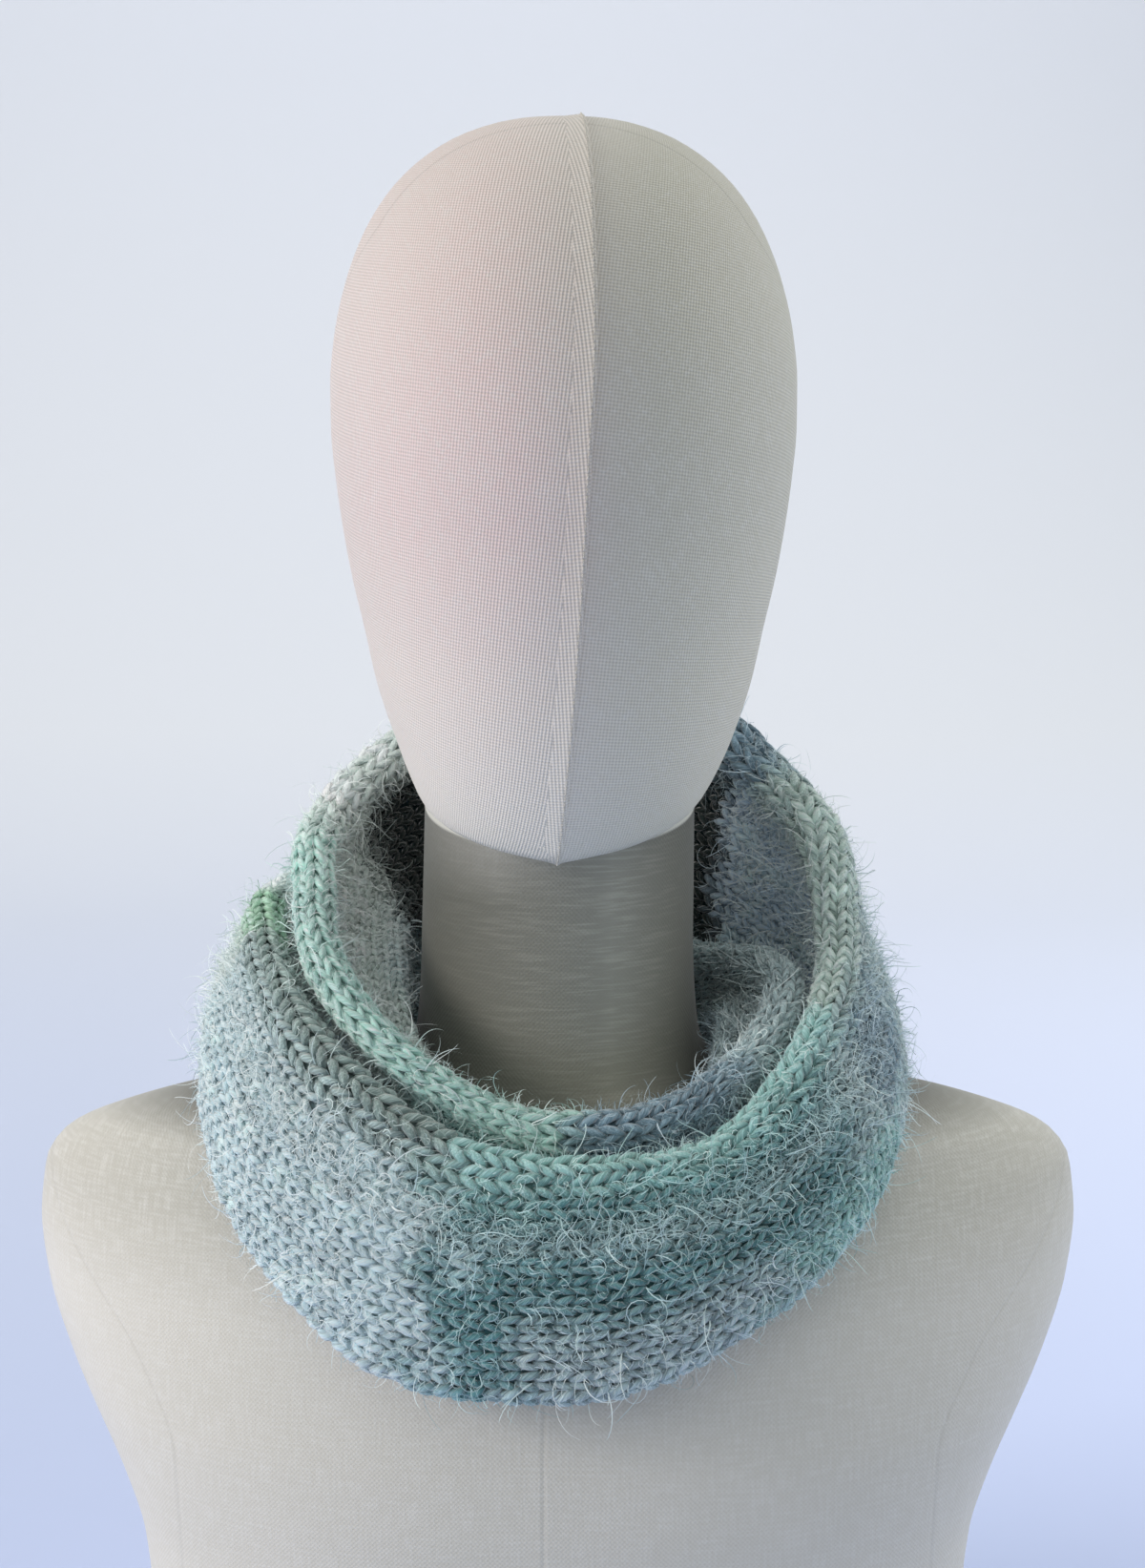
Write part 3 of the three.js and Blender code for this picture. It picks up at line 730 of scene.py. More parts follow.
stitch_shape = bpy.data.objects.new("sewing_stitch", tube_mesh(
    "sewing_stitch", [(0, -0.42, -0.3), (0, -0.34, 0.0), (0, 0, 0.16), (0, 0.34, 0.0), (0, 0.42, -0.3)],
    [0, 0.085, 0.1, 0.085, 0], 6))
marks = np.arange(1.0, seam_run[-1] - 1, SEWING_STITCH)
pick = lambda values: np.stack([np.interp(marks, seam_run, column) for column in values.T], axis=1)
seam_places = pick(seam_line) - pick(seam_across) * 0.55 + pick(seam_out) * 0.86
carrier = anchor_points("head_seam_thread", in_metres(seam_places), pick(seam_along), pick(seam_out),
                        np.full((len(marks), 3), SEWING_STITCH * MM))
thread_mesh = grown_mesh(carrier, row_of_stitches, {
    "Shape": stitch_shape, "Looseness": 0.06, "Uneven size": 0.08, "Seed": 4,
    "Finish": thread_material()}, "head_seam_thread")
head_seam_thread = new_object("head_seam_thread", thread_mesh)
print(len(marks), "sewing stitches")

# %% [markdown]
# ## The course of the scarf
#
# The scarf is one flattened tube that runs twice round the neck. The table follows it by the turn: 0 is
# the front of the outer loop, 90 the right side, 180 the nape, and after 720 degrees it closes. Each
# row says how far from the middle the upper fold (rim) and the lower fold (hem) lie, and how high, how
# far the band bellies out between them, and half its thickness. A cross section is then two layers of
# knitting that touch, with a round fold at the top and at the bottom. The rim rolls a little thicker,
# and under the roll there is a shallow groove.

# %% Table of the scarf, in millimetres
COURSE_COLUMNS = ("turn", "rim_r", "rim_z", "hem_r", "hem_z", "bow", "flat")
SCARF_COURSE = (
    (0, 100, 245, 125, 181, 9, 6), (15, 101, 245, 125, 185, 10, 6), (30, 102.5, 247, 126, 198, 10, 6.1),
    (45, 105, 260, 128, 213, 9, 6.3), (60, 107, 279, 128.5, 231, 8, 6.5), (75, 107.5, 295, 128, 252, 6, 6.7),
    (90, 107.5, 311, 124, 269, 5, 7), (110, 111, 342, 108, 281, 5, 7.5),
    (125, 108, 361, 101.5, 286, 1, 7), (138, 103, 379, 96, 293, 3, 6.4),
    (160, 92, 393, 89, 309, 4, 6), (180, 86, 396, 84, 318, 4, 6), (205, 92, 386, 85, 314, 5, 6.2),
    (225, 98, 370, 82, 310, 7, 6.8), (240, 102, 353, 76, 303, 8, 7), (255, 98.5, 338, 67, 297, 8, 7),
    (270, 92.5, 324, 63.5, 290, 7, 6.6), (285, 91.5, 311, 63, 282, 7, 6.4), (300, 90.5, 298, 63, 273, 6, 6.2),
    (315, 88, 284, 66, 263, 5, 6), (330, 84, 271, 76, 245, 1, 5.8), (345, 80.5, 261, 89, 219, -2, 5.8),
    (360, 79, 256, 98, 203, -4, 5.8), (375, 80, 256, 98, 207, -4, 5.8), (390, 82, 260, 89, 228, -2, 5.8),
    (405, 85, 268, 77, 252, 5, 6), (420, 87, 278, 70, 264.5, 7, 6.2), (435, 87, 287, 66, 270, 7, 6.4),
    (450, 86, 293, 65.5, 273, 7, 6.4), (465, 83, 293, 66, 271, 6, 6.4), (480, 80.5, 291, 76, 267, 3, 6.2),
    (500, 77.5, 289, 87, 253, 0, 6), (520, 79, 289, 91, 242, 0, 6), (540, 89, 294, 96, 234, 3, 6),
    (555, 101, 301, 106, 235, 4, 6.2), (570, 110, 310, 114, 241, 4, 6.2), (585, 116, 317, 121, 248, 4, 6.2),
    (600, 118.5, 319, 127, 255, 4, 6.2), (615, 117, 316, 129, 261, 5, 6.3), (630, 112.5, 309, 129, 264, 6, 6.4),
    (645, 109, 299, 131, 250, 7, 6.4), (660, 107, 287, 131, 226, 8, 6.2), (675, 105, 273, 129, 204.5, 9, 6),
    (690, 103, 259, 127, 187, 9, 6), (705, 101, 249, 125, 181, 9, 6),
)
FULL_COURSE = 720
SCARF_CENTRE_Y = 5
RIM_ROLL, RIM_ROLL_REACH = 0.34, 0.13
GROOVE, GROOVE_AT, GROOVE_REACH = 0.2, 0.28, 0.09
STRETCHES = {
    "scarf_front_outer": (-75, 75), "scarf_right_and_nape": (75, 195), "scarf_left_inner": (195, 300),
    "scarf_front_inner": (300, 420), "scarf_right_inner": (420, 540), "scarf_left_outer": (540, 645),
}
laps = [(row[0] + lap * FULL_COURSE, *row[1:]) for lap in (-1, 0, 1) for row in SCARF_COURSE]
course = smooth_table(COURSE_COLUMNS, laps, [row[0] for row in laps])


# %% Cross sections
def half_thickness(flat, s):
    roll = RIM_ROLL * np.exp(-((s / RIM_ROLL_REACH) ** 2))
    groove = GROOVE * np.exp(-(((s - GROOVE_AT) / GROOVE_REACH) ** 2))
    return flat * (1 + roll - groove)


FOLD = np.radians(np.linspace(0, 90, 10))
DOWN = np.linspace(0, 1, 42)[1:-1]
half_outline = [(0.0, a) for a in FOLD] + [(s, math.pi / 2) for s in DOWN] + [(1.0, a) for a in FOLD[::-1]]
outline = [(s, 1, a) for s, a in half_outline] + [(s, -1, a) for s, a in half_outline[-2::-1]]
OUTLINE_S, OUTLINE_SIDE, OUTLINE_FOLD = (np.array(column)[None, :] for column in zip(*outline))


def sections(turns, inset=0.0):
    """Closed outlines of the scarf, one row of points for each turn, from the rim's top over the outside."""
    at = {k: v[:, None] for k, v in course(np.asarray(turns, float)).items()}
    rim, hem = (at["rim_r"], at["rim_z"]), (at["hem_r"], at["hem_z"])
    chord = np.hypot(hem[0] - rim[0], hem[1] - rim[1])
    outward = (-(hem[1] - rim[1]) / chord, (hem[0] - rim[0]) / chord)
    belly = [(rim[i] + hem[i]) / 2 + outward[i] * 2 * at["bow"] for i in (0, 1)]
    s = OUTLINE_S
    line = [(1 - s) ** 2 * rim[i] + 2 * (1 - s) * s * belly[i] + s * s * hem[i] for i in (0, 1)]
    run = [(1 - s) * (belly[i] - rim[i]) + s * (hem[i] - belly[i]) for i in (0, 1)]
    length = np.hypot(*run)
    run = [run[0] / length, run[1] / length]
    h = half_thickness(at["flat"], s) - inset
    beyond = np.where(s < 0.5, -1, 1) * h * np.cos(OUTLINE_FOLD)
    proud = OUTLINE_SIDE * h * np.sin(OUTLINE_FOLD)
    r = line[0] + beyond * run[0] - proud * run[1]
    z = line[1] + beyond * run[1] + proud * run[0]
    turn = np.radians(np.asarray(turns, float))[:, None]
    return np.stack([r * np.sin(turn), SCARF_CENTRE_Y - r * np.cos(turn), z], axis=2)

# %% [markdown]
# ## A map of the knitted surface
#
# To lay stitches on the scarf one needs a map: a turn along it and a share of the way round it must
# give a point, and the directions along, across and outward there. Here the outlines are measured off
# at equal lengths once, for every degree, and the map is read between them.

# %% The map
AROUND_STEPS = 240


class KnitMap:
    """Places on the scarf's surface by turn (degrees) and by share of the way round, in millimetres."""

    def __init__(self, inset):
        rings = sections(np.arange(FULL_COURSE), inset)
        shares = np.linspace(0, 1, AROUND_STEPS + 1)
        grid = np.empty((FULL_COURSE, AROUND_STEPS + 1, 3))
        self.girth = np.empty(FULL_COURSE)
        for i, ring in enumerate(rings):
            run = np.concatenate([[0], np.cumsum(np.linalg.norm(np.diff(ring, axis=0), axis=1))])
            self.girth[i] = run[-1]
            for k in range(3):
                grid[i, :, k] = np.interp(shares * run[-1], run, ring[:, k])
        self.grid = grid

    def at(self, turn, around):
        turn, around = np.broadcast_arrays(np.asarray(turn, float) % FULL_COURSE, np.asarray(around, float) % 1.0)
        i, u = np.divmod(turn, 1.0)
        j, v = np.divmod(around * AROUND_STEPS, 1.0)
        i, j, u, v = i.astype(int), j.astype(int), u[..., None], v[..., None]
        k = (i + 1) % FULL_COURSE
        near = self.grid[i, j] * (1 - v) + self.grid[i, j + 1] * v
        far = self.grid[k, j] * (1 - v) + self.grid[k, j + 1] * v
        return near * (1 - u) + far * u

    def directions(self, turn, around):
        """Unit vectors along the scarf, across it and outward."""
        along = unit(self.at(turn + 1.5, around) - self.at(turn - 1.5, around))
        across = self.at(turn, around + 0.008) - self.at(turn, around - 0.008)
        across = unit(across - along * np.sum(across * along, axis=-1, keepdims=True))
        return along, across, np.cross(across, along)


surface_map = KnitMap(0.0)
middle_line = (surface_map.at(np.arange(FULL_COURSE), 0.25) + surface_map.at(np.arange(FULL_COURSE), 0.75)) / 2
steps = np.linalg.norm(np.diff(np.concatenate([middle_line, middle_line[:1]]), axis=0), axis=1)
distance_at = np.concatenate([[0], np.cumsum(steps)])
SCARF_LENGTH = distance_at[-1]
print(f"scarf {SCARF_LENGTH:.0f} mm long at its middle, {surface_map.girth.mean():.0f} mm round")

# %% [markdown]
# ## Wales and rows
#
# Knitting is a net. A column of stitches is a wale, and here the wales run the whole length of the
# loop; a row goes once round the tube. On the flat of the band a stitch is about six millimetres wide
# and as long; over the rim the fold pulls the loops open and they look much bigger. So the widths of
# the wales are a table too, starting beside the top of the rim, and the rim's wales have longer rows.

# %% The net
FIRST_WALE_STARTS = 2.9
WALE_WIDTHS = np.array([10.4, 9.2, 7.2] + [6.3] * 8 + [7.2, 8.8, 7.8] + [6.3] * 9 + [7.2, 8.4, 10.2])
RIM_WALES = np.array([0, 1, 24, 25])
ROW_PITCHES = {"rim": 7.0, "field": 5.7}
wale_share = WALE_WIDTHS / WALE_WIDTHS.sum()
wale_edges = FIRST_WALE_STARTS / surface_map.girth.mean() + np.concatenate([[0], np.cumsum(wale_share)])
wale_middles = (wale_edges[1:] + wale_edges[:-1]) / 2
field_wales = np.setdiff1d(np.arange(len(WALE_WIDTHS)), RIM_WALES)
print(f"{len(WALE_WIDTHS)} wales, {len(RIM_WALES)} of them on the rim")

# %% [markdown]
# ## The colours of the yarn
#
# The yarn was dyed in long runs of mint, sea green, slate and a pale ice blue, and the knitting gathers
# each run into a patch with a ragged edge. A short table says, for places along the loop, which dye lies
# on the rim, on the outside, on the hem and on the inside. Every stitch then takes the blend of its
# neighbours in the table, read at a slightly wrong place, so that the patches' edges wander by a row or
# two as they do where a dyed run ends.
#
# One dye isn't the yarn's own: the nearly black one is painted shade, deep in the collar beside and
# behind the neck. A paler band under the rim stands for hair too fine to model.

# %% Dyes
DYES = {
    "ice": paint("#d4ecf2"), "mint": paint("#b4e0d5"), "sea": paint("#9ccbc7"), "deep": paint("#5c8e92"),
    "slate": paint("#7d97a6"), "fog": paint("#aac0c4"), "sage": paint("#bdd5cc"), "sky_with_painted_light": paint("#cfe8ff"),
    "frost": paint("#e6f6ef"), "leaf": paint("#98c4a6"), "painted_shade": paint("#14211f"), "pebble": paint("#8ea29e"),
}
DYE_PLACES = (0.03, 0.25, 0.5, 0.78)
DYE_RUNS = (
    (0, "sea", "deep", "fog", "frost"), (18, "sea", "deep", "fog", "frost"), (32, "sea", "deep", "fog", "frost"),
    # The pale blue on the inner wall at the right, turns 62 to 132, is partly painted light: paler than the yarn's
    # blue, where the lamps leave that wall in the neck's shade.
    (46, "sea", "deep", "sea", "frost"), (62, "sea", "fog", "sea", "sky_with_painted_light"), (72, "sage", "slate", "fog", "sky_with_painted_light"),
    (86, "sage", "fog", "fog", "sky_with_painted_light"), (98, "sage", "fog", "fog", "sky_with_painted_light"), (112, "sage", "fog", "sky_with_painted_light", "sky_with_painted_light"),
    # The nearly black dye in the runs from turn 140 to 242 is painted shade in the collar's hollow, not yarn.
    (132, "slate", "fog", "sky_with_painted_light", "sky_with_painted_light"), (140, "slate", "fog", "painted_shade", "painted_shade"), (165, "sage", "sage", "fog", "painted_shade"),
    (195, "frost", "frost", "painted_shade", "painted_shade"), (212, "frost", "frost", "painted_shade", "painted_shade"),
    (229, "frost", "ice", "painted_shade", "painted_shade"),
    (242, "frost", "ice", "ice", "frost"), (262, "mint", "ice", "ice", "frost"),
    (290, "mint", "frost", "sage", "frost"),
    (308, "mint", "sage", "sage", "frost"), (330, "mint", "sea", "sage", "frost"), (358, "mint", "sea", "sage", "sky_with_painted_light"),
    (373, "slate", "slate", "fog", "sky_with_painted_light"), (398, "slate", "slate", "fog", "sky_with_painted_light"), (420, "fog", "fog", "slate", "fog"),
    (450, "fog", "fog", "slate", "fog"), (480, "fog", "slate", "slate", "fog"), (520, "fog", "fog", "fog", "slate"),
    (565, "fog", "ice", "ice", "fog"), (585, "ice", "ice", "ice", "sage"), (612, "frost", "ice", "ice", "sage"),
    (621, "leaf", "frost", "ice", "sage"), (630, "leaf", "frost", "ice", "sage"), (641, "pebble", "ice", "ice", "fog"),
    (662, "pebble", "ice", "ice", "fog"), (691, "pebble", "ice", "ice", "fog"), (709, "sea", "deep", "deep", "frost"),
)
dye_turns = np.array([run[0] for run in DYE_RUNS] + [FULL_COURSE])
dye_table = np.array([[DYES[name][:3] for name in run[1:]] for run in DYE_RUNS + DYE_RUNS[:1]])


def wandering(turn, around, seed, turn_reach, around_reach):
    """A slow random wave over the scarf, from -1 to 1, that closes both ways."""
    rng = np.random.default_rng(seed)
    total = np.zeros(np.broadcast(turn, around).shape)
    for _ in range(14):
        laps_along = rng.integers(1, max(2, round(FULL_COURSE / turn_reach)))
        laps_around = rng.integers(-max(1, round(1 / around_reach)), max(2, round(1 / around_reach)))
        total = total + np.sin(2 * math.pi * (laps_along * turn / FULL_COURSE + laps_around * around + rng.random()))
    return total / 5.5


def dye(turn, around):
    """The yarn's colour at places on the scarf."""
    on_the_inside = np.exp(-(((around - 0.7) / 0.15) ** 4))
    ragged = 6.0 * (1 - 0.6 * on_the_inside) * wandering(turn, around, 11, 12, 0.12)
    turn = (turn + ragged) % FULL_COURSE
    around = (around + 0.03 * wandering(turn, around, 12, 30, 0.3)) % 1.0
    i = np.clip(np.searchsorted(dye_turns, turn, side="right") - 1, 0, len(dye_turns) - 2)
    u = (turn - dye_turns[i]) / (dye_turns[i + 1] - dye_turns[i])
    u = np.clip((u - 0.08) / 0.84, 0, 1)
    u = (u * u * (3 - 2 * u))[..., None]
    places = np.array(DYE_PLACES + (1 + DYE_PLACES[0],))
    shifted = np.where(around < places[0], around + 1, around)
    j = np.clip(np.searchsorted(places, shifted, side="right") - 1, 0, 3)
    v = (shifted - places[j]) / (places[j + 1] - places[j])
    v = np.clip((v - 0.15) / 0.5, 0, 1)
    v = (v * v * (3 - 2 * v))[..., None]
    k = (j + 1) % 4
    near = dye_table[i, j] * (1 - v) + dye_table[i, k] * v
    far = dye_table[i + 1, j] * (1 - v) + dye_table[i + 1, k] * v
    shade = 1 + 0.16 * wandering(turn, around, 13, 14, 0.05)[..., None]
    under_rim = np.exp(-(((around - 0.215) / 0.035) ** 2) - (((turn + 340) % FULL_COURSE - 360) / 48) ** 4)
    colour = near * (1 - u) + far * u
    colour = colour + (np.array(DYES["fog"][:3]) - colour) * 0.5 * under_rim[..., None]
    return np.clip(colour * shade, 0, 1)


def with_alpha(colours):
    return np.concatenate([colours, np.ones((*colours.shape[:-1], 1))], axis=-1)

# %% [markdown]
# ## The ground under the stitches
#
# Behind the stitches that show, a knitted sheet has its other side, soft, and painted dark with shade in
# the gaps. One thin open tube for each stretch stands for it, a little inside the stitches, and this is
# the sheet that the model knows as cloth. It has one face for half a stitch, and it carries the dye and
# how fuzzy the wool is there: most in the groove under the rim and on the inner wall at the right, less
# on the rim's chain of stitches, and least in the shaded hollow behind the neck.

# %% Ground shells
GROUND_INSET = 2.3
ground_map = KnitMap(GROUND_INSET)
SHELL_AROUND = 52


def fuzziness(turn, around):
    """How thick the fuzz is, about 1 on the whole."""
    groove = 2.2 * np.exp(-(((around - 0.19) / 0.045) ** 2))
    inside = 0.35 * np.exp(-(((around - 0.78) / 0.17) ** 2))
    chain = 0.35 * np.exp(-(((around - 0.05) / 0.035) ** 2))
    upper_left = 0.6 * np.exp(-(((turn - 240) / 28) ** 2))
    right_wall = 1.3 * np.exp(-(((turn - 108) / 24) ** 4) - ((around - 0.8) / 0.16) ** 4)
    hollow = np.exp(-(((turn - 182) / 48) ** 8) - ((around - 0.72) / 0.2) ** 4)
    fuzz = 0.9 + groove + inside - chain + upper_left + right_wall + 0.35 * wandering(turn, around, 21, 30, 0.2)
    return (1 - 0.9 * hollow) * np.clip(fuzz, 0.2, 3.0)


def ground_shell(name, start, end):
    turns = np.linspace(start, end, round((end - start) / 2.5) + 1)[:, None]
    around = (np.arange(SHELL_AROUND) / SHELL_AROUND)[None, :]
    places = in_metres(ground_map.at(turns, around))
    rows = len(turns)
    mesh = new_mesh(name, places.reshape(-1, 3), belt(rows, SHELL_AROUND))
    flat_turns, flat_around = (np.broadcast_to(a, (rows, SHELL_AROUND)).ravel() for a in (turns, around))
    keep_numbers(mesh, "dye", with_alpha(dye(flat_turns % FULL_COURSE, flat_around)), "FLOAT_COLOR", "color")
    keep_numbers(mesh, "fuzziness", fuzziness(flat_turns, flat_around))
    length = np.interp(end % FULL_COURSE, np.arange(FULL_COURSE + 1), distance_at)
    length = (length - np.interp(start % FULL_COURSE, np.arange(FULL_COURSE + 1), distance_at)) % SCARF_LENGTH
    girth = ground_map.girth[(turns.ravel() % FULL_COURSE).astype(int)].mean()
    return mesh, (girth * MM, length * MM)

# %% [markdown]
# ## Wool
#
# The yarn is two soft plies twisted together, with a halo of finer hair. On one leg of a stitch that
# shows as streaks that run slantwise along it, with a painted highlight where a fibre catches the light
# and painted shade in the groove between the plies. Each stitch's mesh keeps how far along the leg a
# point is and where it lies round it, turned a little with the twist; noise stretched along those gives
# streaks that follow every leg, whichever way it points.

# %% Wool materials
WOOL_SHADE, GROUND_SHADE = "#173d44", "#16292d"
BRIGHTEST_WOOL = (0.88, 0.93, 0.92)


def dye_parts(bench):
    """The dye, its green part, and how pale it is from 0 to 1."""
    dyed = bench.attribute("dye", "Color")
    green = bench.node("ShaderNodeSeparateColor", inputs={"Color": dyed}, output="Green")
    return dyed, green, bench.clamp((green - 0.5) * 2.2)


def fibre_colour(bench, dyed, green, brighter, whiter, white):
    """The dye as single fibres show it: brighter, and whiter too unless the dye is dark."""
    bright = bench.vector_maths("MINIMUM", bench.scaled(dyed, brighter), BRIGHTEST_WOOL)
    return bench.mix(bench.clamp(green * 4) * whiter, bright, paint(white))


def streaks(bench, strand, scale, shift, detail):
    """Noise drawn out along a leg of yarn, different on every stitch."""
    return bench.node("ShaderNodeTexNoise", {"noise_dimensions": "4D"},
                      {"Vector": bench.stretched(strand, scale), "W": shift, "Scale": 1.0, "Detail": detail})


def wool_material():
    material, bench = new_material("wool")
    dyed, green, paleness = dye_parts(bench)
    strand, chance, lift = bench.attribute("strand", "Vector"), bench.attribute("chance"), bench.attribute("lift")
    fibres = streaks(bench, strand, (1.0, 2.8, 2.8), chance * 40, 3.0)
    hairs = streaks(bench, strand, (2.4, 8.0, 8.0), chance * 90, 2.0)
    groove = bench.clamp(1 - abs(bench.part(strand, "Z")) * 3.0)
    # Painted shade where the stitch is low, in the gaps, and in the ply groove; painted highlight along the fibre
    # streaks and on the tops of the legs.
    deep = bench.mix(0.74 - paleness * 0.48, dyed, paint(WOOL_SHADE))
    shaded = bench.mix(bench.clamp((0.66 - lift) * 2.4), dyed, deep)
    shaded = bench.mix(groove * 0.2, shaded, deep)
    pale = fibre_colour(bench, dyed, green, 1.75, 0.16, "#eef8f5")
    light = bench.mix(bench.clamp((fibres - 0.5) * 4.0 + (hairs - 0.5) * 2.6 + (lift - 0.8) * 1.8), shaded, pale)
    colour = bench.mix(bench.clamp((0.43 - fibres) * 3.0), light, deep)
    bump = bench.bump(0.7, 0.0014, fibres * 0.6 + hairs * 0.4 - groove * 1.0)
    bench.surface({"Base Color": colour, "Roughness": bench.clamp(0.78 + hairs * 0.2), "Normal": bump,
                   "Sheen Weight": 0.7, "Sheen Roughness": 0.4, "Specular IOR Level": 0.25})
    return material


def ground_material():
    material, bench = new_material("wool_ground")
    dyed, _, paleness = dye_parts(bench)
    felt = bench.noise(bench.node("ShaderNodeTexCoord", output="Object"), 700.0, 3.0)
    # Painted shade: the ground is darkened towards a deep green, less where the dye is pale.
    colour = bench.mix(bench.clamp(0.9 - felt * 0.5 - paleness * 0.35), dyed, paint(GROUND_SHADE))
    bench.surface({"Base Color": colour, "Roughness": 0.95, "Normal": bench.bump(0.7, 0.001, felt),
                   "Specular IOR Level": 0.1})
    return material


def fuzz_material():
    material, bench = new_material("wool_fuzz")
    dyed, green, _ = dye_parts(bench)
    cloudy = bench.noise(bench.node("ShaderNodeTexCoord", output="Object"), 60.0, 1.0)
    pale = fibre_colour(bench, dyed, green, 2.0, 0.5, "#f4fbf9")
    colour = bench.mix(bench.clamp(bench.attribute("chance") * 0.8 + cloudy * 0.6), dyed, pale)
    bench.surface({"Base Color": colour, "Roughness": 0.7, "Sheen Weight": 0.3, "Specular IOR Level": 0.3})
    return material


wool, wool_ground, wool_fuzz = wool_material(), ground_material(), fuzz_material()
grounds, cuts = {}, {}
for name, (start, end) in STRETCHES.items():
    shell, cuts[name] = ground_shell("ground_" + name, start, end)
    grounds[name] = new_object("ground_" + name, shell, wool_ground)
print("cut sizes (m):", {name: (round(w, 3), round(l, 3)) for name, (w, l) in cuts.items()})

# %% [markdown]
# ## Knit stitches
#
# A knit stitch shows as a V: two legs that come up together through the stitch below, swell, lean apart
# and go down behind the stitch above. Two Vs are modelled with few faces, in a unit square, a slim one
# for the rim and a fuller one for the field. Geometry Nodes set a copy on every crossing of the net, as
# wide as its wale, as long as its row, a little crooked and uneven as hand knitting is. This way six
# thousand stitches cost two small meshes and a table of places. A stitch also keeps how high each point
# stands in it ("lift"): the wool is painted with shade where that is low, down in the gaps, and with a
# highlight where it is high.

# %% One stitch
RIM_LEG = ((0.01, -1.02, -1.2), (0.05, -0.74, -0.28), (0.16, -0.34, 0.28),
           (0.28, 0.09, 0.30), (0.40, 0.52, 0.0), (0.47, 0.94, -1.2))
FIELD_LEG = ((0.04, -0.92, -1.2), (0.08, -0.64, -0.25), (0.18, -0.27, 0.28),
             (0.28, 0.12, 0.28), (0.38, 0.50, -0.05), (0.44, 0.86, -1.2))
LEG_SWELL = (0, 0.82, 1.0, 1.0, 0.86, 0)
LEG_DEPTH = 0.9
LEG_SIDES = 5
PLY_TURNS = 0.9


def knit_stitch(name, leg_line, half_width, lean):
    """A V one wale wide and one row long; its legs keep the place along and round the yarn."""
    points, strand, lift, faces = [], [], [], []
    for side in (1, -1):
        first = len(points)
        line = np.array(leg_line) * (side, 1, 1)
        for n, (centre, swell) in enumerate(zip(line, LEG_SWELL)):
            progress = n / (len(line) - 1)
            for i in range(LEG_SIDES if swell else 1):
                angle = 2 * math.pi * (i + 0.25) / LEG_SIDES
                wide = math.cos(angle) * half_width * swell
                points.append(centre + (wide, -wide * lean * side, math.sin(angle) * LEG_DEPTH * swell))
                turned = angle + side * PLY_TURNS * 2 * math.pi * progress
                strand.append((progress * 2 + side, math.cos(turned) if swell else 0, math.sin(turned) if swell else 0))
                lift.append(0.5 + points[-1][2] * 0.42)
        rings = len(line) - 2
        ring = lambda r, i: first + 1 + r * LEG_SIDES + i % LEG_SIDES
        last = first + 1 + rings * LEG_SIDES
        for i in range(LEG_SIDES):
            faces.append((first, ring(0, i), ring(0, i + 1)))
            faces += [(ring(r, i), ring(r + 1, i), ring(r + 1, i + 1), ring(r, i + 1)) for r in range(rings - 1)]
            faces.append((last, ring(rings - 1, i + 1), ring(rings - 1, i)))
    mesh = new_mesh(name, points, faces)
    keep_numbers(mesh, "strand", strand, "FLOAT_VECTOR", "vector")
    keep_numbers(mesh, "lift", lift)
    return bpy.data.objects.new(name, mesh)


rim_stitch = knit_stitch("rim_stitch", RIM_LEG, 0.165, 0.9)
field_stitch = knit_stitch("field_stitch", FIELD_LEG, 0.185, 0.6)
upper = [p.normal.z > 0 for p in rim_stitch.data.polygons if p.center.z > 0.3]
print("one stitch:", len(rim_stitch.data.polygons), "faces;", sum(upper), "of", len(upper), "upper ones look up")

# %% All the stitches
STITCH_HALF_DEPTH = 1.9
STITCH_SINK = 0.35
uneven = np.random.default_rng(5)


def net_of_stitches(wales, pitch):
    """Where every stitch of some wales sits, how it is turned, how big it is and what colour."""
    rows = round(SCARF_LENGTH / pitch)
    marks = (np.arange(rows) + 0.5) * SCARF_LENGTH / rows
    row_turns = np.interp(marks, distance_at, np.arange(FULL_COURSE + 1))
    row_steps = (np.roll(row_turns, -1) - row_turns) % FULL_COURSE
    turns, shares = (a.ravel() for a in np.meshgrid(row_turns, wale_middles[wales], indexing="ij"))
    half_steps = np.repeat(row_steps, len(wales)) / 2
    girths = surface_map.girth[row_turns.astype(int) % FULL_COURSE]
    widths = np.tile(wale_share[wales], rows) * np.repeat(girths, len(wales))
    lengths = np.linalg.norm(surface_map.at(turns + half_steps, shares)
                             - surface_map.at(turns - half_steps, shares), axis=1)
    depths = STITCH_HALF_DEPTH * (0.8 + 0.2 * widths / 6.3)
    along, _, out = surface_map.directions(turns, shares)
    out = out * np.sign(np.sum(out[0] * (surface_map.at(turns[0], shares[0]) - ground_map.at(turns[0], shares[0]))))
    places = surface_map.at(turns, shares) - out * (STITCH_HALF_DEPTH + STITCH_SINK)
    return {
        "turn": turns, "place": places + uneven.normal(0, 0.25, places.shape), "along": along, "out": out,
        "size": np.stack([widths, lengths, depths], axis=1),
        "dye": np.clip(dye(turns, shares) * uneven.normal(1, 0.1, (len(turns), 1)), 0, 1)}


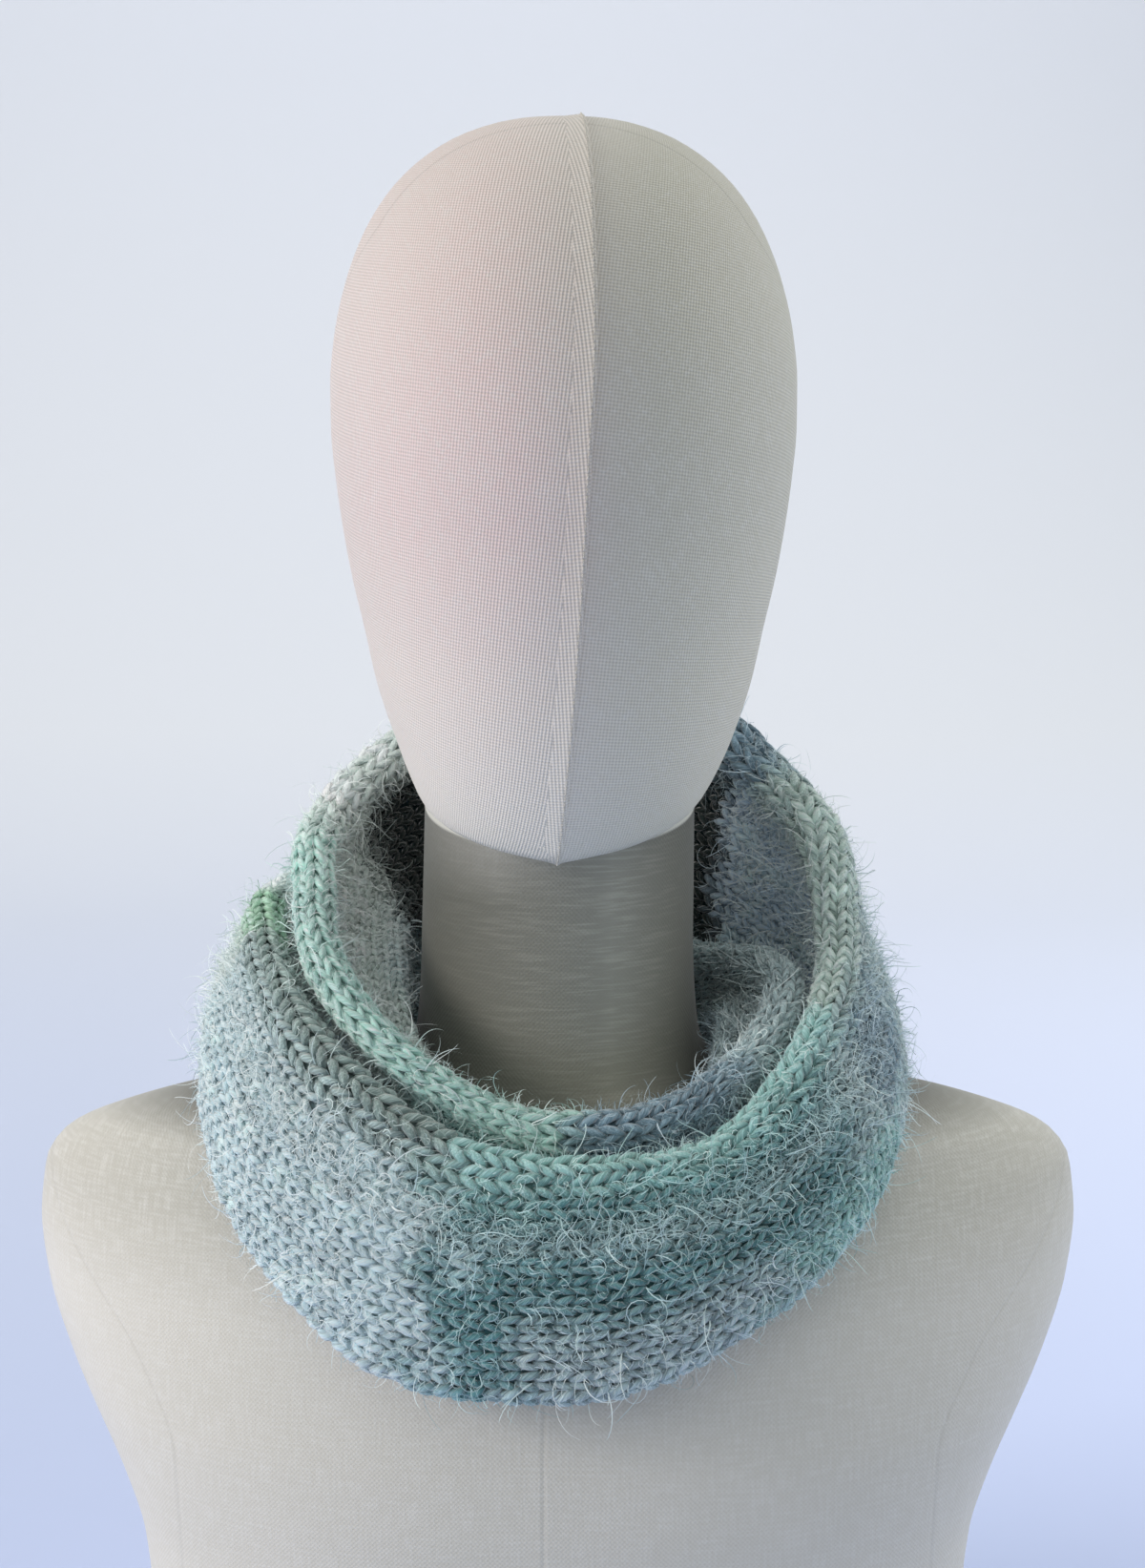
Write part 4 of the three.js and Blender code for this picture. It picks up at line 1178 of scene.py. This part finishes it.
stitches = {name: [] for name in STRETCHES}
for kind, wales, shape in (("rim", RIM_WALES, rim_stitch), ("field", field_wales, field_stitch)):
    net = net_of_stitches(wales, ROW_PITCHES[kind])
    for seed, (name, (start, end)) in enumerate(STRETCHES.items()):
        here = (net["turn"] - start) % FULL_COURSE < end - start
        label = f"{kind}_stitches_{name}"
        carrier = anchor_points(label, in_metres(net["place"][here]), net["along"][here], net["out"][here],
                                net["size"][here] * MM, with_alpha(net["dye"][here]))
        mesh = grown_mesh(carrier, row_of_stitches, {
            "Shape": shape, "Looseness": 0.1, "Uneven size": 0.08, "Seed": 30 + seed, "Finish": wool}, label)
        stitches[name].append(new_object(label, mesh))
        print(label, int(here.sum()), "stitches,", len(mesh.polygons), "faces")

# %% [markdown]
# ## Fuzz
#
# What makes the wool look soft is its halo: thousands of fine short hairs that stand off the yarn, and a
# few long pale ones that curl away from the edges. Bristles on a surface are a task for Geometry Nodes:
# points are scattered over the ground shell as thickly as its fuzziness says, each gets one of a few
# hair shapes, turned and leaned at random from a fixed seed, and takes the dye of the wool under it. A
# hair is a flat blade of a few faces, about a pixel of the photograph wide, so its section is no matter;
# its bend is, and one shape of the long hairs bends past a half circle.

# %% Hair shapes
def blade_mesh(name, line, width):
    """A flat hair that narrows to a point."""
    line = np.array(line, float)
    run = unit(np.gradient(line, axis=0))
    side = unit(np.cross(run, (0.3, 0.2, 1.0))) * width / 2
    points, faces = [], []
    for n, centre in enumerate(line[:-1]):
        narrow = 1 - 0.6 * n / len(line)
        points += [centre - side[n] * narrow, centre + side[n] * narrow]
        if n:
            faces.append((2 * n - 2, 2 * n - 1, 2 * n + 1, 2 * n))
    points.append(line[-1])
    faces.append((len(points) - 3, len(points) - 2, len(points) - 1))
    return new_mesh(name, points, faces)


def hair_collection(name, lines, width):
    group = bpy.data.collections.new(name)
    for i, line in enumerate(lines):
        mesh = blade_mesh(f"{name}_{i}", line, width)
        group.objects.link(bpy.data.objects.new(mesh.name, mesh))
    return group


def curl(steps, turn, rise, end):
    """A line one unit long that bends steadily round while its slope off the surface changes."""
    headings = np.linspace(0, turn, steps)
    slopes = np.linspace(rise, end, steps)
    pieces = np.stack([np.sin(headings) * np.cos(slopes), np.cos(headings) * np.cos(slopes), np.sin(slopes)],
                      axis=1) / steps
    return np.concatenate([[[0, 0, 0]], np.cumsum(pieces, axis=0)])


short_hairs = hair_collection("short_hairs", (
    curl(3, 0.7, 1.1, 0.5), curl(3, -0.9, 1.4, 0.9), curl(3, 1.5, 0.7, 0.0), curl(3, -1.2, 0.9, -0.2)), 0.062)
long_hairs = hair_collection("long_hairs", (
    curl(8, 0.7, 0.9, -0.2), curl(8, -2.0, 0.8, -0.1), curl(8, 3.6, 0.6, 0.1), curl(8, -1.2, 1.2, 0.3)), 0.021)


# %% Fuzz tree
def fuzz_tree():
    inputs = {"Hairs per square metre": "Float", "Root height": "Float", "Shortest": "Float", "Longest": "Float",
              "Lean": "Float", "Seed": "Int", "Shapes": "Collection", "Finish": "Material"}
    tree, bench, given = node_group("fuzz", inputs)
    thickness = bench.node("GeometryNodeInputNamedAttribute", {"data_type": "FLOAT"},
                           {"Name": "fuzziness"}, "Attribute")
    tree_links = {"Mesh": given("Geometry"),
                  "Density": thickness * given("Hairs per square metre"), "Seed": given("Seed")}
    scattered = tree.nodes.new("GeometryNodeDistributePointsOnFaces")
    scattered.distribute_method = "RANDOM"
    for key, value in tree_links.items():
        tree.links.new(value.socket, enabled_socket(scattered.inputs, key))
    points, normal, upright = (Signal(bench, scattered.outputs[key]) for key in ("Points", "Normal", "Rotation"))
    lifted = bench.node("GeometryNodeSetPosition",
                        inputs={"Geometry": points, "Offset": bench.scaled(normal, given("Root height"))})
    spin = bench.chance(0.0, 2 * math.pi, given("Seed") + 1)
    lean = bench.chance(0.0 - given("Lean"), given("Lean"), given("Seed") + 2)
    spun = bench.node("FunctionNodeEulerToRotation",
                      inputs={"Euler": bench.node("ShaderNodeCombineXYZ", inputs={"Z": spin})})
    leaned = bench.node("FunctionNodeEulerToRotation",
                        inputs={"Euler": bench.node("ShaderNodeCombineXYZ", inputs={"X": lean})})
    turned = bench.turned_by(upright, spun)
    turned = bench.turned_by(turned, leaned)
    length = bench.chance(0.0, 1.0, given("Seed") + 3)
    size = given("Shortest") + (given("Longest") - given("Shortest")) * length * length
    shapes = bench.node("GeometryNodeCollectionInfo", {"transform_space": "ORIGINAL"},
                        {"Collection": given("Shapes"), "Separate Children": True, "Reset Children": True}, "Instances")
    which = bench.node("FunctionNodeRandomValue", {"data_type": "INT"}, {"Min": 0, "Max": 3, "Seed": given("Seed") + 4})
    hairs = bench.node("GeometryNodeInstanceOnPoints", inputs={
        "Points": lifted, "Instance": shapes, "Pick Instance": True, "Instance Index": which,
        "Rotation": turned, "Scale": size})
    end_with_copies(bench, given, hairs, given("Seed") + 5)
    return tree


fuzz_on_surface = fuzz_tree()

# %% Fuzz on each stretch
SHORT_DENSITY = 208000
LONG_DENSITY = 62000
fuzz = {}
for seed, (name, shell) in enumerate(grounds.items()):
    parts = []
    for kind, shapes, density, shortest, longest, lean in (
            ("short", short_hairs, SHORT_DENSITY, 0.0030, 0.0068, 0.5),
            ("long", long_hairs, LONG_DENSITY, 0.007, 0.020, 0.4)):
        carrier = new_object(f"{kind}_fuzz_{name}", shell.data.copy())
        mesh = grown_mesh(carrier, fuzz_on_surface, {
            "Hairs per square metre": float(density), "Root height": 0.0017, "Shortest": shortest, "Longest": longest,
            "Lean": lean, "Seed": 100 + 10 * seed, "Shapes": shapes, "Finish": wool_fuzz}, f"{kind}_fuzz_{name}")
        parts.append(new_object(f"{kind}_fuzz_{name}", mesh))
    fuzz[name] = parts
    print(name, [len(p.data.polygons) for p in parts], "faces of fuzz")

# %% [markdown]
# ## Handing the pieces to the model
#
# Every piece hangs on the model's root body, and the plain solids of each stretch of the scarf are
# hidden. The size each ground shell would be cut to flat, the girth of the tube by the length of its
# stretch, is worked out with the shell; the stitches and the fuzz go with it.

# %% Bodies and hidden solids
for piece in (canvas_body, canvas_head, head_seam, head_seam_thread):
    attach(piece, "root")
for name, shell in grounds.items():
    wool_pieces = [*stitches[name], *fuzz[name]]
    for piece in [shell, *wool_pieces]:
        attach(piece, "root")
    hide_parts(name)
faces = {piece.name: sum(len(p.vertices) - 2 for p in piece.data.polygons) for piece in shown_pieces()}
print("triangles:", faces, "in all", sum(faces.values()))
